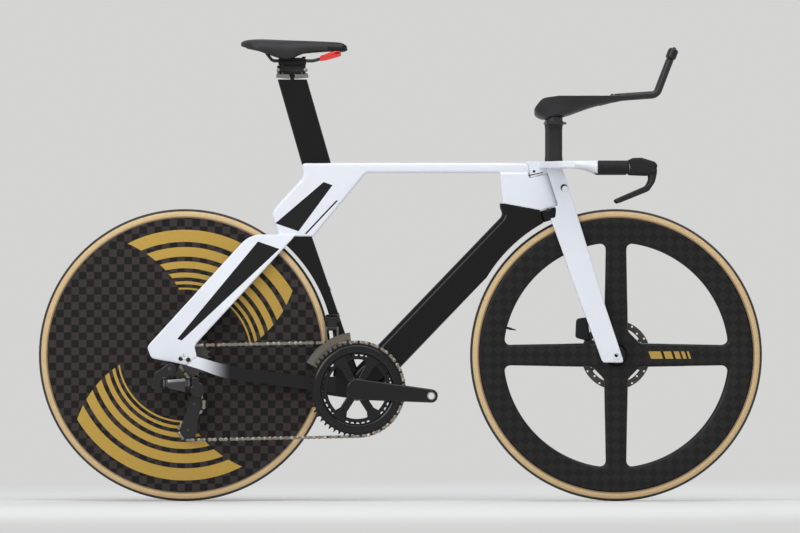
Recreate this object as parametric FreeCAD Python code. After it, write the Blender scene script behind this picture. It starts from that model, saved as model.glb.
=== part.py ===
import FreeCAD, Part
import math
import os

# Time trial bike. Millimetres, +X forward, +Y to the rider's left, +Z up.
# The origin is on the ground, midway between the two axles. The drive side is -Y.

# Layout of the bicycle
CHAINSTAY_GAP = 60.5
FRONT_GAP = 261.5
BB_DROP = 78.5
HEAD_ANGLE = 72.5
FORK_OFFSET = 44.0

# Clearances
RUN_GAP = 0.3
SHAFT_GAP = 0.12
HINGE_GAP = 0.25
TYRE_ROOM = 8.0
DOWN_TUBE_ROOM = 11.0

# Tyres and wheels
TYRE_OUTER_R = 338.0
TYRE_SECTION_R = 14.0
TYRE_WALL = 2.2
TYRE_HEIGHT = 20.4
RIM_HALF = 13.0
DISC_SKIN = 1.6
DISC_HUB_HALF = 19.0
DISC_RIM_DEPTH = 26.0
FRONT_RIM_DEPTH = 57.6
SPOKE_COUNT = 4
SPOKE_HUB_CHORD = 56.0
SPOKE_RIM_CHORD = 48.0
SPOKE_HALF = 9.0
SPOKE_EDGE_R = 7.0
SPOKE_ROOT_R = 62.0
WINDOW_CORNER_R = 12.0
HUB_SHELL_R = 22.0
FRONT_ROTOR_R = 80.0
REAR_ROTOR_R = 70.0
ROTOR_BAND = 15.0
ROTOR_THICK = 1.8
ROTOR_ARMS = 6
ROTOR_SETBACK = 15.0
VALVE_R = 3.0
VALVE_LENGTH = 40.0

# Axles
FRONT_WIDTH = 100.0
REAR_WIDTH = 142.0
AXLE_R = 6.0
AXLE_BORE_R = 4.0
AXLE_HEAD_R = 9.0
AXLE_HEAD = 2.0
HUB_CAP_R = 12.0

# Drive train
CHAIN_PITCH = 12.7
ROLLER_R = 3.875
BIG_RING_TEETH = 54
SMALL_RING_TEETH = 40
PULLEY_TEETH = 11
CASSETTE_TEETH = (11, 12, 13, 14, 15, 16, 17, 18, 20, 22, 25, 28)
COG_PITCH = 3.53
COG_THICK = 1.5
FIRST_COG_Y = -65.2
BIG_RING_Y = -48.0
RING_THICK = 2.0
SMALL_RING_Y = -40.7
TOOTH_THICK = 1.5
FREEHUB_R = 17.0
CRANK_LENGTH = 172.5
CRANK_ANGLE = -5.15
CRANK_OUTER = 73.0
CRANK_THICK = 15.0
CRANK_EYE_R = 15.0
CRANK_ROOT_R = 25.0
CRANK_EDGE_R = 5.0
PEDAL_HOLE_R = 7.14
SPINDLE_R = 12.0
BB_SHELL_R = 27.0
BB_HALF = 34.0
CUP_R = 21.0
CUP_FLANGE = 3.0
RING_BOLT_CIRCLE_R = 55.0
RING_BOLT_R = 4.0
SPIDER_ANGLES = (67.0, 125.0, 242.0, 308.0)
BIG_RING_BAND = 25.0
SMALL_RING_BAND = 8.0
RING_FACE = 4.0

# Rear derailleur
GUIDE_X = 23.4
GUIDE_DROP = 113.3
CAGE_SPAN = 61.8
CAGE_LEAN = 13.0
CAGE_PLATE = 1.8
CAGE_GAP = 4.2
PULLEY_AXLE_R = 2.5
SHIFT_LINK = 56.0
LINK_WIDTH = 5.0
LINK_SPREAD = 14.0
HANGER_THICK = 5.0

# Frame
FRAME_HALF = 16.0
TOP_TUBE_HALF = 17.0
HEAD_HALF = 20.0
DOWN_TUBE_HALF = 21.0
TOP_TUBE_RISE = 523.5
TOP_TUBE_DEPTH = 24.0
SEAT_SPLIT_RISE = 352.5
STAY_THICK = 14.0
STAY_RUN = 460.0
STAY_ROOM = 5.0
DROPOUT = 9.0
HEAD_DROP = 29.06
HEAD_LENGTH = 79.0
TURRET_R = 24.0
BEARING_R = 16.0
BEARING_HEIGHT = 8.0
STEERER_R = 8.0
BOSS_THREAD_R = 2.5
BOSS_DEPTH = 12.0
BOSS_SPACING = 64.0

# Fork and bars
BLADE_FOOT = 12.0
CROWN_HALF = 27.0
CROWN_ROOM = 5.0
FORK_TYRE_ROOM = 10.0
BAR_RISE = 3.0
BAR_THICK = 16.0
BAR_HALF_WIDTH = 195.0
GRIP_R = 15.5
GRIP_LENGTH = 73.0
GRIP_CORE_R = 11.0
HOOD_HALF = 15.0
LEVER_HALF = 5.0
RISER_HEIGHT = 86.0
RISER_HALF = 13.0
RISER_CHORD = 20.0
RISER_BOSS_R = 20.0
BRIDGE_THICK = 5.0
CUP_SPREAD = 72.0
CUP_WALL = 3.5
PAD_THICK = 5.0
PAD_FRONT = 30.0
GRIP_SPREAD = 45.0
EXTENSION_R = 8.5
POD_R = 11.5
BUTTON_R = 4.0
BUTTON_TRAVEL = 1.5

# Seat
POST_LEAN = 74.0
POST_DEPTH = 66.0
POST_HALF = 10.0
POST_INSERT = 72.0
POST_HEIGHT = 193.0
POST_DROP = 12.0
BARREL_R = 7.0
RAIL_R = 3.5
RAIL_SPREAD = 22.0
RAIL_RISE = 43.0

V = FreeCAD.Vector
ALONG_Y = V(0, 1, 0)
FLAT = 1e-3
WIDE = 400.0

RIM_R = TYRE_OUTER_R - TYRE_HEIGHT
CHAINSTAY_REACH = TYRE_OUTER_R + CHAINSTAY_GAP
FRONT_CENTRE = TYRE_OUTER_R + FRONT_GAP
REAR_HUB = V(-(CHAINSTAY_REACH + FRONT_CENTRE) / 2, 0, TYRE_OUTER_R)
FRONT_HUB = V((CHAINSTAY_REACH + FRONT_CENTRE) / 2, 0, TYRE_OUTER_R)
BOTTOM_BRACKET = V(REAR_HUB.x + CHAINSTAY_REACH, 0, TYRE_OUTER_R - BB_DROP)

nodes = {}


def keep(name, *solids):
    """Store one solid, or a group of separate solids, under its node name."""
    nodes[name] = solids[0] if len(solids) == 1 else Part.makeCompound(list(solids))


def side(x, z):
    return V(x, 0, z)


def plan(x, y):
    return V(x, y, 0)


def rounded_edges(points, radii, closed):
    """Lines through the points, with each corner rounded by an arc of its radius."""
    count = len(points)
    inner = range(count) if closed else range(1, count - 1)
    enter = list(points)
    leave = list(points)
    arcs = {}
    for i in inner:
        corner = points[i]
        back = points[i - 1] - corner
        ahead = points[(i + 1) % count] - corner
        room = 0.495 * min(back.Length, ahead.Length)
        back.normalize()
        ahead.normalize()
        half = back.getAngle(ahead) / 2
        reach = min(radii[i] / math.tan(half), room)
        if reach < FLAT:
            continue
        radius = reach * math.tan(half)
        middle = (back + ahead).normalize()
        enter[i] = corner + back * reach
        leave[i] = corner + ahead * reach
        top = corner + middle * (radius / math.sin(half) - radius)
        arcs[i] = Part.Arc(enter[i], top, leave[i]).toShape()
    edges = []
    for i in range(count):
        if i in arcs:
            edges.append(arcs[i])
        following = (i + 1) % count
        if following == 0 and not closed:
            break
        if leave[i].distanceToPoint(enter[following]) > FLAT:
            edges.append(Part.LineSegment(leave[i], enter[following]).toShape())
    return edges


def outline(corners, place):
    """Closed wire through corners (u, v, radius), set in space by place(u, v)."""
    points = [place(u, v) for u, v, _ in corners]
    return Part.Wire(rounded_edges(points, [radius for _, _, radius in corners], True))


def slab(corners, y_low, y_high):
    """Plate with a side-view outline, between two planes across the bicycle."""
    body = Part.Face(outline(corners, side)).extrude(V(0, y_high - y_low, 0))
    body.translate(V(0, y_low, 0))
    return body


def soft_slab(corners, y_low, y_high, edge_r):
    """Slab whose two side outlines are rounded over."""
    body = slab(corners, y_low, y_high)
    rims = [edge for edge in body.Edges if edge.BoundBox.YLength < FLAT]
    return body.makeFillet(edge_r, rims)


def turned(corners, centre):
    """Ring turned about the crosswise axis through centre; corners are (r, y, radius)."""
    body = Part.Face(outline(corners, plan)).revolve(V(0, 0, 0), ALONG_Y, 360)
    body.translate(V(centre.x, 0, centre.z))
    return body


def rod(start, end, radius):
    return Part.makeCylinder(radius, (end - start).Length, start, end - start)


def across(centre, radius, y_low, y_high):
    """Cylinder lying across the bicycle."""
    return rod(V(centre.x, y_low, centre.z), V(centre.x, y_high, centre.z), radius)


def tube_across(centre, outer_r, inner_r, y_low, y_high):
    return across(centre, outer_r, y_low, y_high).cut(across(centre, inner_r, y_low, y_high))


def pipe(points, radius, bend):
    """Round bar along straight runs joined by bends."""
    path = Part.Wire(rounded_edges(points, [bend] * len(points), False))
    start = Part.Wire(Part.makeCircle(radius, points[0], points[1] - points[0]))
    return path.makePipeShell([start], True, False)


def capsule(first, second, radius, y_low, y_high):
    """Flat link with round ends about two points of the side view."""
    along = V(second.x - first.x, 0, second.z - first.z).normalize()
    normal = V(-along.z, 0, along.x)
    ends = (first - along * radius, second + along * radius)
    corners = []
    for end, sign in ((ends[0], -1), (ends[1], -1), (ends[1], 1), (ends[0], 1)):
        point = end + normal * (sign * radius)
        corners.append((point.x, point.z, radius * 0.98))
    return slab(corners, y_low, y_high)


def polar(centre, radius, degrees, y=0.0):
    angle = math.radians(degrees)
    return V(centre.x + radius * math.cos(angle), y, centre.z + radius * math.sin(angle))


def mirrored(body):
    """The same piece on the other side of the bicycle."""
    return body.mirror(V(0, 0, 0), ALONG_Y)


# Tyres: open casings seated on the rim beds.
def tyre(hub):
    centre_r = TYRE_OUTER_R - TYRE_SECTION_R
    casing = Part.makeTorus(centre_r, TYRE_SECTION_R, V(hub.x, 0, hub.z), ALONG_Y)
    cavity = Part.makeTorus(centre_r, TYRE_SECTION_R - TYRE_WALL, V(hub.x, 0, hub.z), ALONG_Y)
    rim_space = across(hub, RIM_R, -TYRE_SECTION_R - 1, TYRE_SECTION_R + 1)
    return casing.cut(cavity).cut(rim_space)


keep("front_tyre", tyre(FRONT_HUB))
keep("rear_tyre", tyre(REAR_HUB))

# Front wheel: one moulding with a deep rim and four flat blades, cut out by four windows.
rim_inner_r = RIM_R - FRONT_RIM_DEPTH
wheel_profile = [
    (HUB_SHELL_R, -SPOKE_HALF - 3, 0), (SPOKE_ROOT_R - 16, -SPOKE_HALF - 3, 8),
    (SPOKE_ROOT_R - 2, -SPOKE_HALF, 20), (rim_inner_r + 4, -SPOKE_HALF, 20),
    (rim_inner_r + 26, -RIM_HALF, 30), (RIM_R, -RIM_HALF, 0),
    (RIM_R, RIM_HALF, 0), (rim_inner_r + 26, RIM_HALF, 30),
    (rim_inner_r + 4, SPOKE_HALF, 20), (SPOKE_ROOT_R - 2, SPOKE_HALF, 20),
    (SPOKE_ROOT_R - 16, SPOKE_HALF + 3, 8), (HUB_SHELL_R, SPOKE_HALF + 3, 0),
]
front_wheel = turned(wheel_profile, FRONT_HUB)


def spoke_window(turn):
    """Opening between two neighbouring spokes, with rounded corners."""
    step = math.pi / SPOKE_COUNT

    def spot(r, angle):
        return V(r * math.cos(angle), 0, r * math.sin(angle))

    hub_angle = math.asin(SPOKE_HUB_CHORD / 2 / SPOKE_ROOT_R)
    rim_angle = math.asin(SPOKE_RIM_CHORD / 2 / rim_inner_r)
    hub_low = spot(SPOKE_ROOT_R, hub_angle)
    rim_low = spot(rim_inner_r, rim_angle)
    rim_high = spot(rim_inner_r, 2 * step - rim_angle)
    edges = [
        Part.LineSegment(hub_low, rim_low).toShape(),
        Part.Arc(rim_low, spot(rim_inner_r, step), rim_high).toShape(),
        Part.LineSegment(rim_high, spot(SPOKE_ROOT_R, 2 * step - hub_angle)).toShape(),
        Part.LineSegment(spot(SPOKE_ROOT_R, 2 * step - hub_angle), hub_low).toShape(),
    ]
    block = Part.Face(Part.Wire(edges)).extrude(V(0, 2 * RIM_R, 0))
    block.translate(V(0, -RIM_R, 0))
    uprights = [edge for edge in block.Edges if edge.BoundBox.YLength > RIM_R]
    block = block.makeFillet(WINDOW_CORNER_R, uprights)
    block.rotate(V(0, 0, 0), ALONG_Y, -turn)
    block.translate(FRONT_HUB)
    return block


for spoke in range(SPOKE_COUNT):
    front_wheel = front_wheel.cut(spoke_window(spoke * 360 / SPOKE_COUNT))
window_rims = []
for edge in front_wheel.Edges:
    middle = edge.valueAt((edge.FirstParameter + edge.LastParameter) / 2)
    reach = math.hypot(middle.x - FRONT_HUB.x, middle.z - FRONT_HUB.z)
    flat_edge = edge.BoundBox.YLength < FLAT and abs(abs(middle.y) - SPOKE_HALF) < FLAT
    full_ring = edge.Closed
    if flat_edge and not full_ring and reach < rim_inner_r + 1:
        window_rims.append(edge)
front_wheel = front_wheel.makeFillet(SPOKE_EDGE_R, window_rims)
valve_foot = V(FRONT_HUB.x - RIM_R + FRONT_RIM_DEPTH * 0.5, 0, FRONT_HUB.z)
valve = rod(valve_foot, valve_foot + V(VALVE_LENGTH, 0, 0), VALVE_R)
valve_tip = valve_foot + V(VALVE_LENGTH, 0, 0)
valve = valve.fuse(Part.makeCone(VALVE_R * 0.7, VALVE_R * 0.4, 10, valve_tip, V(1, 0, 0)))
valve.rotate(FRONT_HUB, ALONG_Y, 14)
front_wheel = front_wheel.cut(valve)
keep("front_wheel", front_wheel)
keep("valve_stem", valve)

# Rear disc: two thin skins that meet in a rim bed and stop at the hub shell.
disc_profile = [
    (HUB_SHELL_R, -DISC_HUB_HALF, 0), (RIM_R - DISC_RIM_DEPTH, -RIM_HALF, 60), (RIM_R, -RIM_HALF, 0),
    (RIM_R, RIM_HALF, 0), (RIM_R - DISC_RIM_DEPTH, RIM_HALF, 60), (HUB_SHELL_R, DISC_HUB_HALF, 0),
    (HUB_SHELL_R, DISC_HUB_HALF - DISC_SKIN, 0), (RIM_R - DISC_RIM_DEPTH, RIM_HALF - DISC_SKIN, 4),
    (RIM_R - DISC_RIM_DEPTH, DISC_SKIN - RIM_HALF, 4), (HUB_SHELL_R, DISC_SKIN - DISC_HUB_HALF, 0),
]
keep("rear_disc", turned(disc_profile, REAR_HUB))


# Hubs: shells that turn on the thru-axles, with a rotor seat on the left.
def rotor(hub, radius, y):
    band = tube_across(hub, radius, radius - ROTOR_BAND, y - ROTOR_THICK / 2, y + ROTOR_THICK / 2)
    carrier = tube_across(hub, HUB_SHELL_R + 6, HUB_SHELL_R - 4, y - ROTOR_THICK / 2, y + ROTOR_THICK / 2)
    body = band.fuse(carrier)
    for arm in range(ROTOR_ARMS):
        start = polar(hub, HUB_SHELL_R + 2, arm * 360 / ROTOR_ARMS)
        end = polar(hub, radius - ROTOR_BAND + 2, arm * 360 / ROTOR_ARMS + 32)
        body = body.fuse(capsule(start, end, 4, y - ROTOR_THICK / 2, y + ROTOR_THICK / 2))
    holes = []
    for hole in range(24):
        spot = polar(hub, radius - ROTOR_BAND * (0.3 + 0.4 * (hole % 2)), hole * 15)
        holes.append(across(spot, 2.2, y - 3, y + 3))
    return body.cut(Part.makeCompound(holes)).removeSplitter()


front_rotor_y = FRONT_WIDTH / 2 - ROTOR_SETBACK
rear_rotor_y = REAR_WIDTH / 2 - ROTOR_SETBACK
keep("front_rotor", rotor(FRONT_HUB, FRONT_ROTOR_R, front_rotor_y))
keep("rear_rotor", rotor(REAR_HUB, REAR_ROTOR_R, rear_rotor_y))


def hub_shell(hub, y_right, y_left, rotor_y):
    """Hub barrel with a step that carries the brake rotor."""
    bore = AXLE_R + SHAFT_GAP
    seat_r = HUB_SHELL_R - 4
    corners = [
        (bore, y_right, 0), (HUB_CAP_R, y_right, 0), (HUB_CAP_R, y_right + 6, 0), (HUB_SHELL_R,
            y_right + 10, 3),
        (HUB_SHELL_R, rotor_y - ROTOR_THICK / 2, 0), (seat_r, rotor_y - ROTOR_THICK / 2, 0),
        (seat_r, rotor_y + ROTOR_THICK / 2 + 2, 1), (HUB_CAP_R, rotor_y + 5, 0),
        (HUB_CAP_R, y_left, 0), (bore, y_left, 0),
    ]
    return turned(corners, hub)


front_half = FRONT_WIDTH / 2 - RUN_GAP
rear_half = REAR_WIDTH / 2 - RUN_GAP
last_cog_y = FIRST_COG_Y + COG_PITCH * (len(CASSETTE_TEETH) - 1)
freehub_inner_y = last_cog_y + COG_PITCH
keep("front_hub", hub_shell(FRONT_HUB, -front_half, front_half, front_rotor_y))
keep("rear_hub", hub_shell(REAR_HUB, freehub_inner_y + RUN_GAP, rear_half, rear_rotor_y))


# Thru-axles: hollow shafts with a flat head outside each dropout.
def thru_axle(hub, half, wall):
    outer = half + wall
    shaft = across(hub, AXLE_R, -outer, outer)
    heads = across(hub, AXLE_HEAD_R, outer, outer + AXLE_HEAD)
    nut = across(hub, AXLE_HEAD_R, -outer - AXLE_HEAD, -outer)
    return shaft.fuse([heads, nut]).cut(across(hub, AXLE_BORE_R, -2 * half, 2 * half)).removeSplitter()


# Chain path: circles in order, each with its turning sense, joined by common tangents.
def pitch_radius(teeth):
    return CHAIN_PITCH / (2 * math.sin(math.pi / teeth))


GUIDE = V(REAR_HUB.x + GUIDE_X, 0, REAR_HUB.z - GUIDE_DROP)


def tension_centre(lean):
    angle = math.radians(lean)
    return GUIDE + V(-math.sin(angle), 0, -math.cos(angle)) * CAGE_SPAN


def chain_path(lean):
    """Stretches of the closed chain: arcs on the wheels and the runs between them."""
    wheels = [
        (BOTTOM_BRACKET, BIG_RING_TEETH, 1, BIG_RING_Y), (REAR_HUB, CASSETTE_TEETH[0], 1, FIRST_COG_Y),
        (GUIDE, PULLEY_TEETH, -1, FIRST_COG_Y), (tension_centre(lean), PULLEY_TEETH, 1, FIRST_COG_Y),
    ]
    runs = []
    for (first, teeth_a, sense_a, _), (second, teeth_b, sense_b, _) in zip(wheels, wheels[1:] + wheels[:1]):
        between = second - first
        signed = sense_b * pitch_radius(teeth_b) - sense_a * pitch_radius(teeth_a)
        heading = math.atan2(between.z, between.x) - math.asin(signed / between.Length)
        runs.append((heading, math.sqrt(between.Length ** 2 - signed ** 2)))
    stretches = []
    for i, (centre, teeth, sense, y) in enumerate(wheels):
        heading_in = runs[i - 1][0]
        heading_out, length = runs[i]
        sweep = (sense * (heading_out - heading_in)) % (2 * math.pi)
        next_y = wheels[(i + 1) % len(wheels)][3]
        stretches.append(("arc", centre, teeth, sense, heading_in, y, sweep * teeth / (2 * math.pi)))
        radius = sense * pitch_radius(teeth)
        start = centre + V(math.sin(heading_out), 0, -math.cos(heading_out)) * radius
        stretches.append(("run", start, heading_out, length, y, next_y, length / CHAIN_PITCH))
    return stretches


def link_count(lean):
    return sum(stretch[-1] for stretch in chain_path(lean))


# The cage leans until the chain is a whole, even number of links.
links = 2 * round(link_count(CAGE_LEAN) / 2)
lean_low = CAGE_LEAN - 25
lean_high = CAGE_LEAN + 25
for halving in range(50):
    lean = (lean_low + lean_high) / 2
    if (link_count(lean) > links) == (link_count(lean_high) > link_count(lean_low)):
        lean_high = lean
    else:
        lean_low = lean
TENSION = tension_centre(lean)


def eased(share):
    """Smooth step from 0 to 1 over the middle of a run."""
    share = min(max((share - 0.15) / 0.7, 0), 1)
    return share * share * (3 - 2 * share)


def pin_places():
    """Centre of every chain pin, and the angle of the first pin on each toothed wheel."""
    pins = []
    phases = []
    first = 0.0
    for stretch in chain_path(lean):
        last = first + stretch[-1]
        for pin in range(math.ceil(first), math.ceil(last)):
            if stretch[0] == "arc":
                _, centre, teeth, sense, heading, y, _ = stretch
                angle = heading + sense * ((pin - first) * 2 * math.pi / teeth - math.pi / 2)
                if pin == math.ceil(first):
                    phases.append(angle)
                reach = pitch_radius(teeth)
                pins.append(V(centre.x + reach * math.cos(angle), y, centre.z + reach * math.sin(angle)))
            else:
                _, start, heading, length, y, next_y, count = stretch
                share = (pin - first) / count
                spot = start + V(math.cos(heading), 0, math.sin(heading)) * (share * length)
                pins.append(V(spot.x, y + (next_y - y) * eased(share), spot.z))
        first = last
    return pins[:links], phases


chain_pins, (ring_phase, cog_phase, guide_phase, tension_phase) = pin_places()

# Chain links: inner links carry the rollers, outer links carry the pins.
PLATE_R = 4.1
PLATE_WAIST = 2.9
PIN_R = 1.6
BUSH_R = 1.9
INNER_PLATE = (1.15, 1.8)
OUTER_PLATE = (2.05, 2.65)


def link_plate(y_low, y_high, hole_r):
    """Waisted plate round two pins, one pitch apart."""
    rise = PLATE_R * math.sin(math.radians(50))
    run = PLATE_R * math.cos(math.radians(50))
    far = CHAIN_PITCH
    arcs = [
        Part.Arc(V(run, 0, rise), V(-PLATE_R, 0, 0), V(run, 0, -rise)).toShape(),
        Part.Arc(V(run, 0, -rise), V(far / 2, 0, -PLATE_WAIST), V(far - run, 0, -rise)).toShape(),
        Part.Arc(V(far - run, 0, -rise), V(far + PLATE_R, 0, 0), V(far - run, 0, rise)).toShape(),
        Part.Arc(V(far - run, 0, rise), V(far / 2, 0, PLATE_WAIST), V(run, 0, rise)).toShape(),
    ]
    plate = Part.Face(Part.Wire(arcs)).extrude(V(0, y_high - y_low, 0))
    plate.translate(V(0, y_low, 0))
    for x in (0, far):
        if hole_r:
            plate = plate.cut(across(V(x, 0, 0), hole_r, y_low, y_high))
    return plate


def inner_link():
    plates = [link_plate(*INNER_PLATE, BUSH_R), link_plate(-INNER_PLATE[1], -INNER_PLATE[0], BUSH_R)]
    for x in (0, CHAIN_PITCH):
        plates.append(tube_across(V(x, 0, 0), ROLLER_R, BUSH_R, -INNER_PLATE[0], INNER_PLATE[0]))
    return plates[0].fuse(plates[1:]).removeSplitter()


def outer_link():
    plates = [link_plate(*OUTER_PLATE, 0), link_plate(-OUTER_PLATE[1], -OUTER_PLATE[0], 0)]
    for x in (0, CHAIN_PITCH):
        plates.append(across(V(x, 0, 0), PIN_R, -OUTER_PLATE[1], OUTER_PLATE[1]))
    return plates[0].fuse(plates[1:]).removeSplitter()


def placed_link(link, start, end):
    along = (end - start).normalize()
    lift = along.cross(ALONG_Y).normalize()
    turn = FreeCAD.Rotation(along, lift.cross(along), lift, "XYZ")
    piece = link.copy()
    piece.Placement = FreeCAD.Placement(start, turn)
    return piece


link_kinds = (inner_link(), outer_link())
chain_links = []
for i, pin in enumerate(chain_pins):
    chain_links.append(placed_link(link_kinds[i % 2], pin, chain_pins[(i + 1) % links]))
keep("chain", *chain_links)


# Toothed wheels: valleys sized for the rollers, pointed teeth between.
VALLEY_R = 4.1
VALLEY_SPREAD = 70.0
TOOTH_HEIGHT = 3.4
TOOTH_TIP_HALF = 1.0


def toothed_disc(teeth, centre, y, thickness, phase):
    pitch_r = pitch_radius(teeth)
    step = 2 * math.pi / teeth
    tip_r = pitch_r + TOOTH_HEIGHT
    tip_turn = step / 2 - TOOTH_TIP_HALF / tip_r
    spread = math.radians(VALLEY_SPREAD)

    def valley(angle, lean_angle):
        seat = V(pitch_r * math.cos(angle), 0, pitch_r * math.sin(angle))
        toward = angle + math.pi + lean_angle
        return seat + V(math.cos(toward), 0, math.sin(toward)) * VALLEY_R

    def tip(angle):
        return V(tip_r * math.cos(angle), 0, tip_r * math.sin(angle))

    edges = []
    for tooth in range(teeth):
        angle = phase + tooth * step
        start = valley(angle, spread)
        end = valley(angle, -spread)
        edges.append(Part.Arc(start, valley(angle, 0), end).toShape())
        corners = [end, tip(angle + tip_turn), tip(angle + step - tip_turn), valley(angle + step, spread)]
        for first, second in zip(corners, corners[1:]):
            edges.append(Part.LineSegment(first, second).toShape())
    body = Part.Face(Part.Wire(edges)).extrude(V(0, thickness, 0))
    body.translate(V(centre.x, y - thickness / 2, centre.z))
    return body


# Cassette: separate cogs with their spacers, slid onto the freehub body.
def cog(index):
    teeth = CASSETTE_TEETH[index]
    y = FIRST_COG_Y + COG_PITCH * index
    phase = cog_phase if index == 0 else index * 0.37
    body = toothed_disc(teeth, REAR_HUB, y, COG_THICK, phase)
    spacer = across(REAR_HUB, FREEHUB_R + 1.2, y + COG_THICK / 2, y + COG_PITCH - COG_THICK / 2)
    if teeth > 17:
        windows = []
        reach = (pitch_radius(teeth) - VALLEY_R + FREEHUB_R) / 2 + 1
        for window in range(7):
            spot = polar(REAR_HUB, reach, window * 360 / 7 + index * 12)
            windows.append(across(spot, (pitch_radius(teeth) - VALLEY_R - FREEHUB_R) * 0.3, y - 2, y + 2))
        body = body.cut(Part.makeCompound(windows))
    return body.fuse(spacer).cut(across(REAR_HUB, FREEHUB_R, y - 2, y + COG_PITCH))


freehub = across(REAR_HUB, FREEHUB_R, FIRST_COG_Y - 2.5, freehub_inner_y)
freehub = freehub.fuse(across(REAR_HUB, HUB_CAP_R, -rear_half, FIRST_COG_Y))
freehub = freehub.cut(across(REAR_HUB, AXLE_R + SHAFT_GAP, -REAR_WIDTH, REAR_WIDTH)).removeSplitter()
keep("cassette", freehub, *[cog(index) for index in range(len(CASSETTE_TEETH))])


# Chainrings: toothed rims on slim arms that reach in to the four bolts.
def chainring(teeth, y, phase, rim_width):
    body = toothed_disc(teeth, BOTTOM_BRACKET, y, TOOTH_THICK, phase)
    inner_r = pitch_radius(teeth) - VALLEY_R - rim_width
    body = body.cut(across(BOTTOM_BRACKET, inner_r, y - 5, y + 5))
    low = y - RING_THICK / 2
    high = y + RING_THICK / 2
    web = tube_across(BOTTOM_BRACKET, inner_r + rim_width * 0.75, inner_r, low, high)
    for spread in SPIDER_ANGLES:
        foot = polar(BOTTOM_BRACKET, RING_BOLT_CIRCLE_R, CRANK_ANGLE + spread)
        for lean_angle in (-7, 7):
            arm = polar(BOTTOM_BRACKET, inner_r + rim_width * 0.4, CRANK_ANGLE + spread + lean_angle)
            web = web.fuse(capsule(foot, arm, 7.5, low, high))
    body = body.fuse(web)
    for spread in SPIDER_ANGLES:
        hole = polar(BOTTOM_BRACKET, RING_BOLT_CIRCLE_R, CRANK_ANGLE + spread)
        body = body.cut(across(hole, RING_BOLT_R, y - 5, y + 5))
    return body.removeSplitter()


big_ring = chainring(BIG_RING_TEETH, BIG_RING_Y, ring_phase, BIG_RING_BAND)
face_r = pitch_radius(BIG_RING_TEETH) - VALLEY_R - BIG_RING_BAND
ring_face = tube_across(BOTTOM_BRACKET, face_r + BIG_RING_BAND * 0.8, face_r + 2, BIG_RING_Y - RING_FACE,
    BIG_RING_Y)
face_edges = [edge for edge in ring_face.Edges if edge.BoundBox.YMax < BIG_RING_Y - RING_FACE + FLAT]
ring_face = ring_face.makeFillet(RING_FACE * 0.6, face_edges)
keep("big_chainring", big_ring.fuse(ring_face).removeSplitter())
keep("small_chainring", chainring(SMALL_RING_TEETH, SMALL_RING_Y, ring_phase, SMALL_RING_BAND))

# Crank: forged arms on a steel spindle; the right arm carries the four-armed spider.
crank_inner = CRANK_OUTER - CRANK_THICK
arm_corners = [
    (-CRANK_ROOT_R - 1, -CRANK_ROOT_R - 1, CRANK_ROOT_R), (-CRANK_ROOT_R - 1, CRANK_ROOT_R + 1, CRANK_ROOT_R),
    (CRANK_LENGTH + CRANK_EYE_R, CRANK_EYE_R, CRANK_EYE_R - 0.5),
    (CRANK_LENGTH + CRANK_EYE_R, -CRANK_EYE_R, CRANK_EYE_R - 0.5),
]
arm = soft_slab(arm_corners, crank_inner, CRANK_OUTER, CRANK_EDGE_R)
arm = arm.cut(across(V(CRANK_LENGTH, 0, 0), PEDAL_HOLE_R, crank_inner, CRANK_OUTER))
left_arm = arm.fuse(across(V(0, 0, 0), SPINDLE_R + 7, BB_HALF + CUP_FLANGE + RUN_GAP, crank_inner + 1))
left_arm = left_arm.cut(across(V(0, 0, 0), SPINDLE_R, 0, CRANK_OUTER - 3)).removeSplitter()
left_arm.rotate(V(0, 0, 0), ALONG_Y, 180 - CRANK_ANGLE)
left_arm.translate(BOTTOM_BRACKET)
keep("crank_arm_left", left_arm)

right_arm = mirrored(arm)
right_arm.rotate(V(0, 0, 0), ALONG_Y, -CRANK_ANGLE)
right_arm.translate(BOTTOM_BRACKET)
spider_outer = BIG_RING_Y + RING_THICK / 2
spider_inner = SMALL_RING_Y - RING_THICK / 2
spider = across(BOTTOM_BRACKET, CRANK_ROOT_R, -crank_inner - 1, spider_inner)
for spread in SPIDER_ANGLES:
    end = polar(BOTTOM_BRACKET, RING_BOLT_CIRCLE_R, CRANK_ANGLE + spread)
    spider = spider.fuse(capsule(BOTTOM_BRACKET, end, 9.5, spider_outer, spider_inner))
    spider = spider.cut(across(end, RING_BOLT_R, -CRANK_OUTER, 0))
right_arm = right_arm.fuse(spider)
right_arm = right_arm.fuse(across(BOTTOM_BRACKET, SPINDLE_R, -crank_inner, CRANK_OUTER - 3))
right_arm = right_arm.cut(across(BOTTOM_BRACKET, SPINDLE_R - 3, 3 - CRANK_OUTER, WIDE)).removeSplitter()
keep("crank_arm_right", right_arm)

ring_bolts = []
for spread in SPIDER_ANGLES:
    spot = polar(BOTTOM_BRACKET, RING_BOLT_CIRCLE_R, CRANK_ANGLE + spread)
    shank_end = SMALL_RING_Y + RING_THICK / 2
    bolt = across(spot, RING_BOLT_R, BIG_RING_Y - RING_THICK / 2, shank_end)
    bolt = bolt.fuse(across(spot, RING_BOLT_R + 2, BIG_RING_Y - RING_THICK / 2 - 2,
        BIG_RING_Y - RING_THICK / 2))
    bolt = bolt.cut(across(spot, 2.4, BIG_RING_Y - 6, BIG_RING_Y))
    ring_bolts.append(bolt.removeSplitter())
keep("chainring_bolts", *ring_bolts)

cup_bore = SPINDLE_R + SHAFT_GAP
right_cup = tube_across(BOTTOM_BRACKET, CUP_R, cup_bore, -BB_HALF, 10 - BB_HALF)
right_cup = right_cup.fuse(tube_across(BOTTOM_BRACKET, CUP_R + 2, cup_bore, -BB_HALF - CUP_FLANGE, -BB_HALF))
right_cup = right_cup.removeSplitter()

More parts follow.
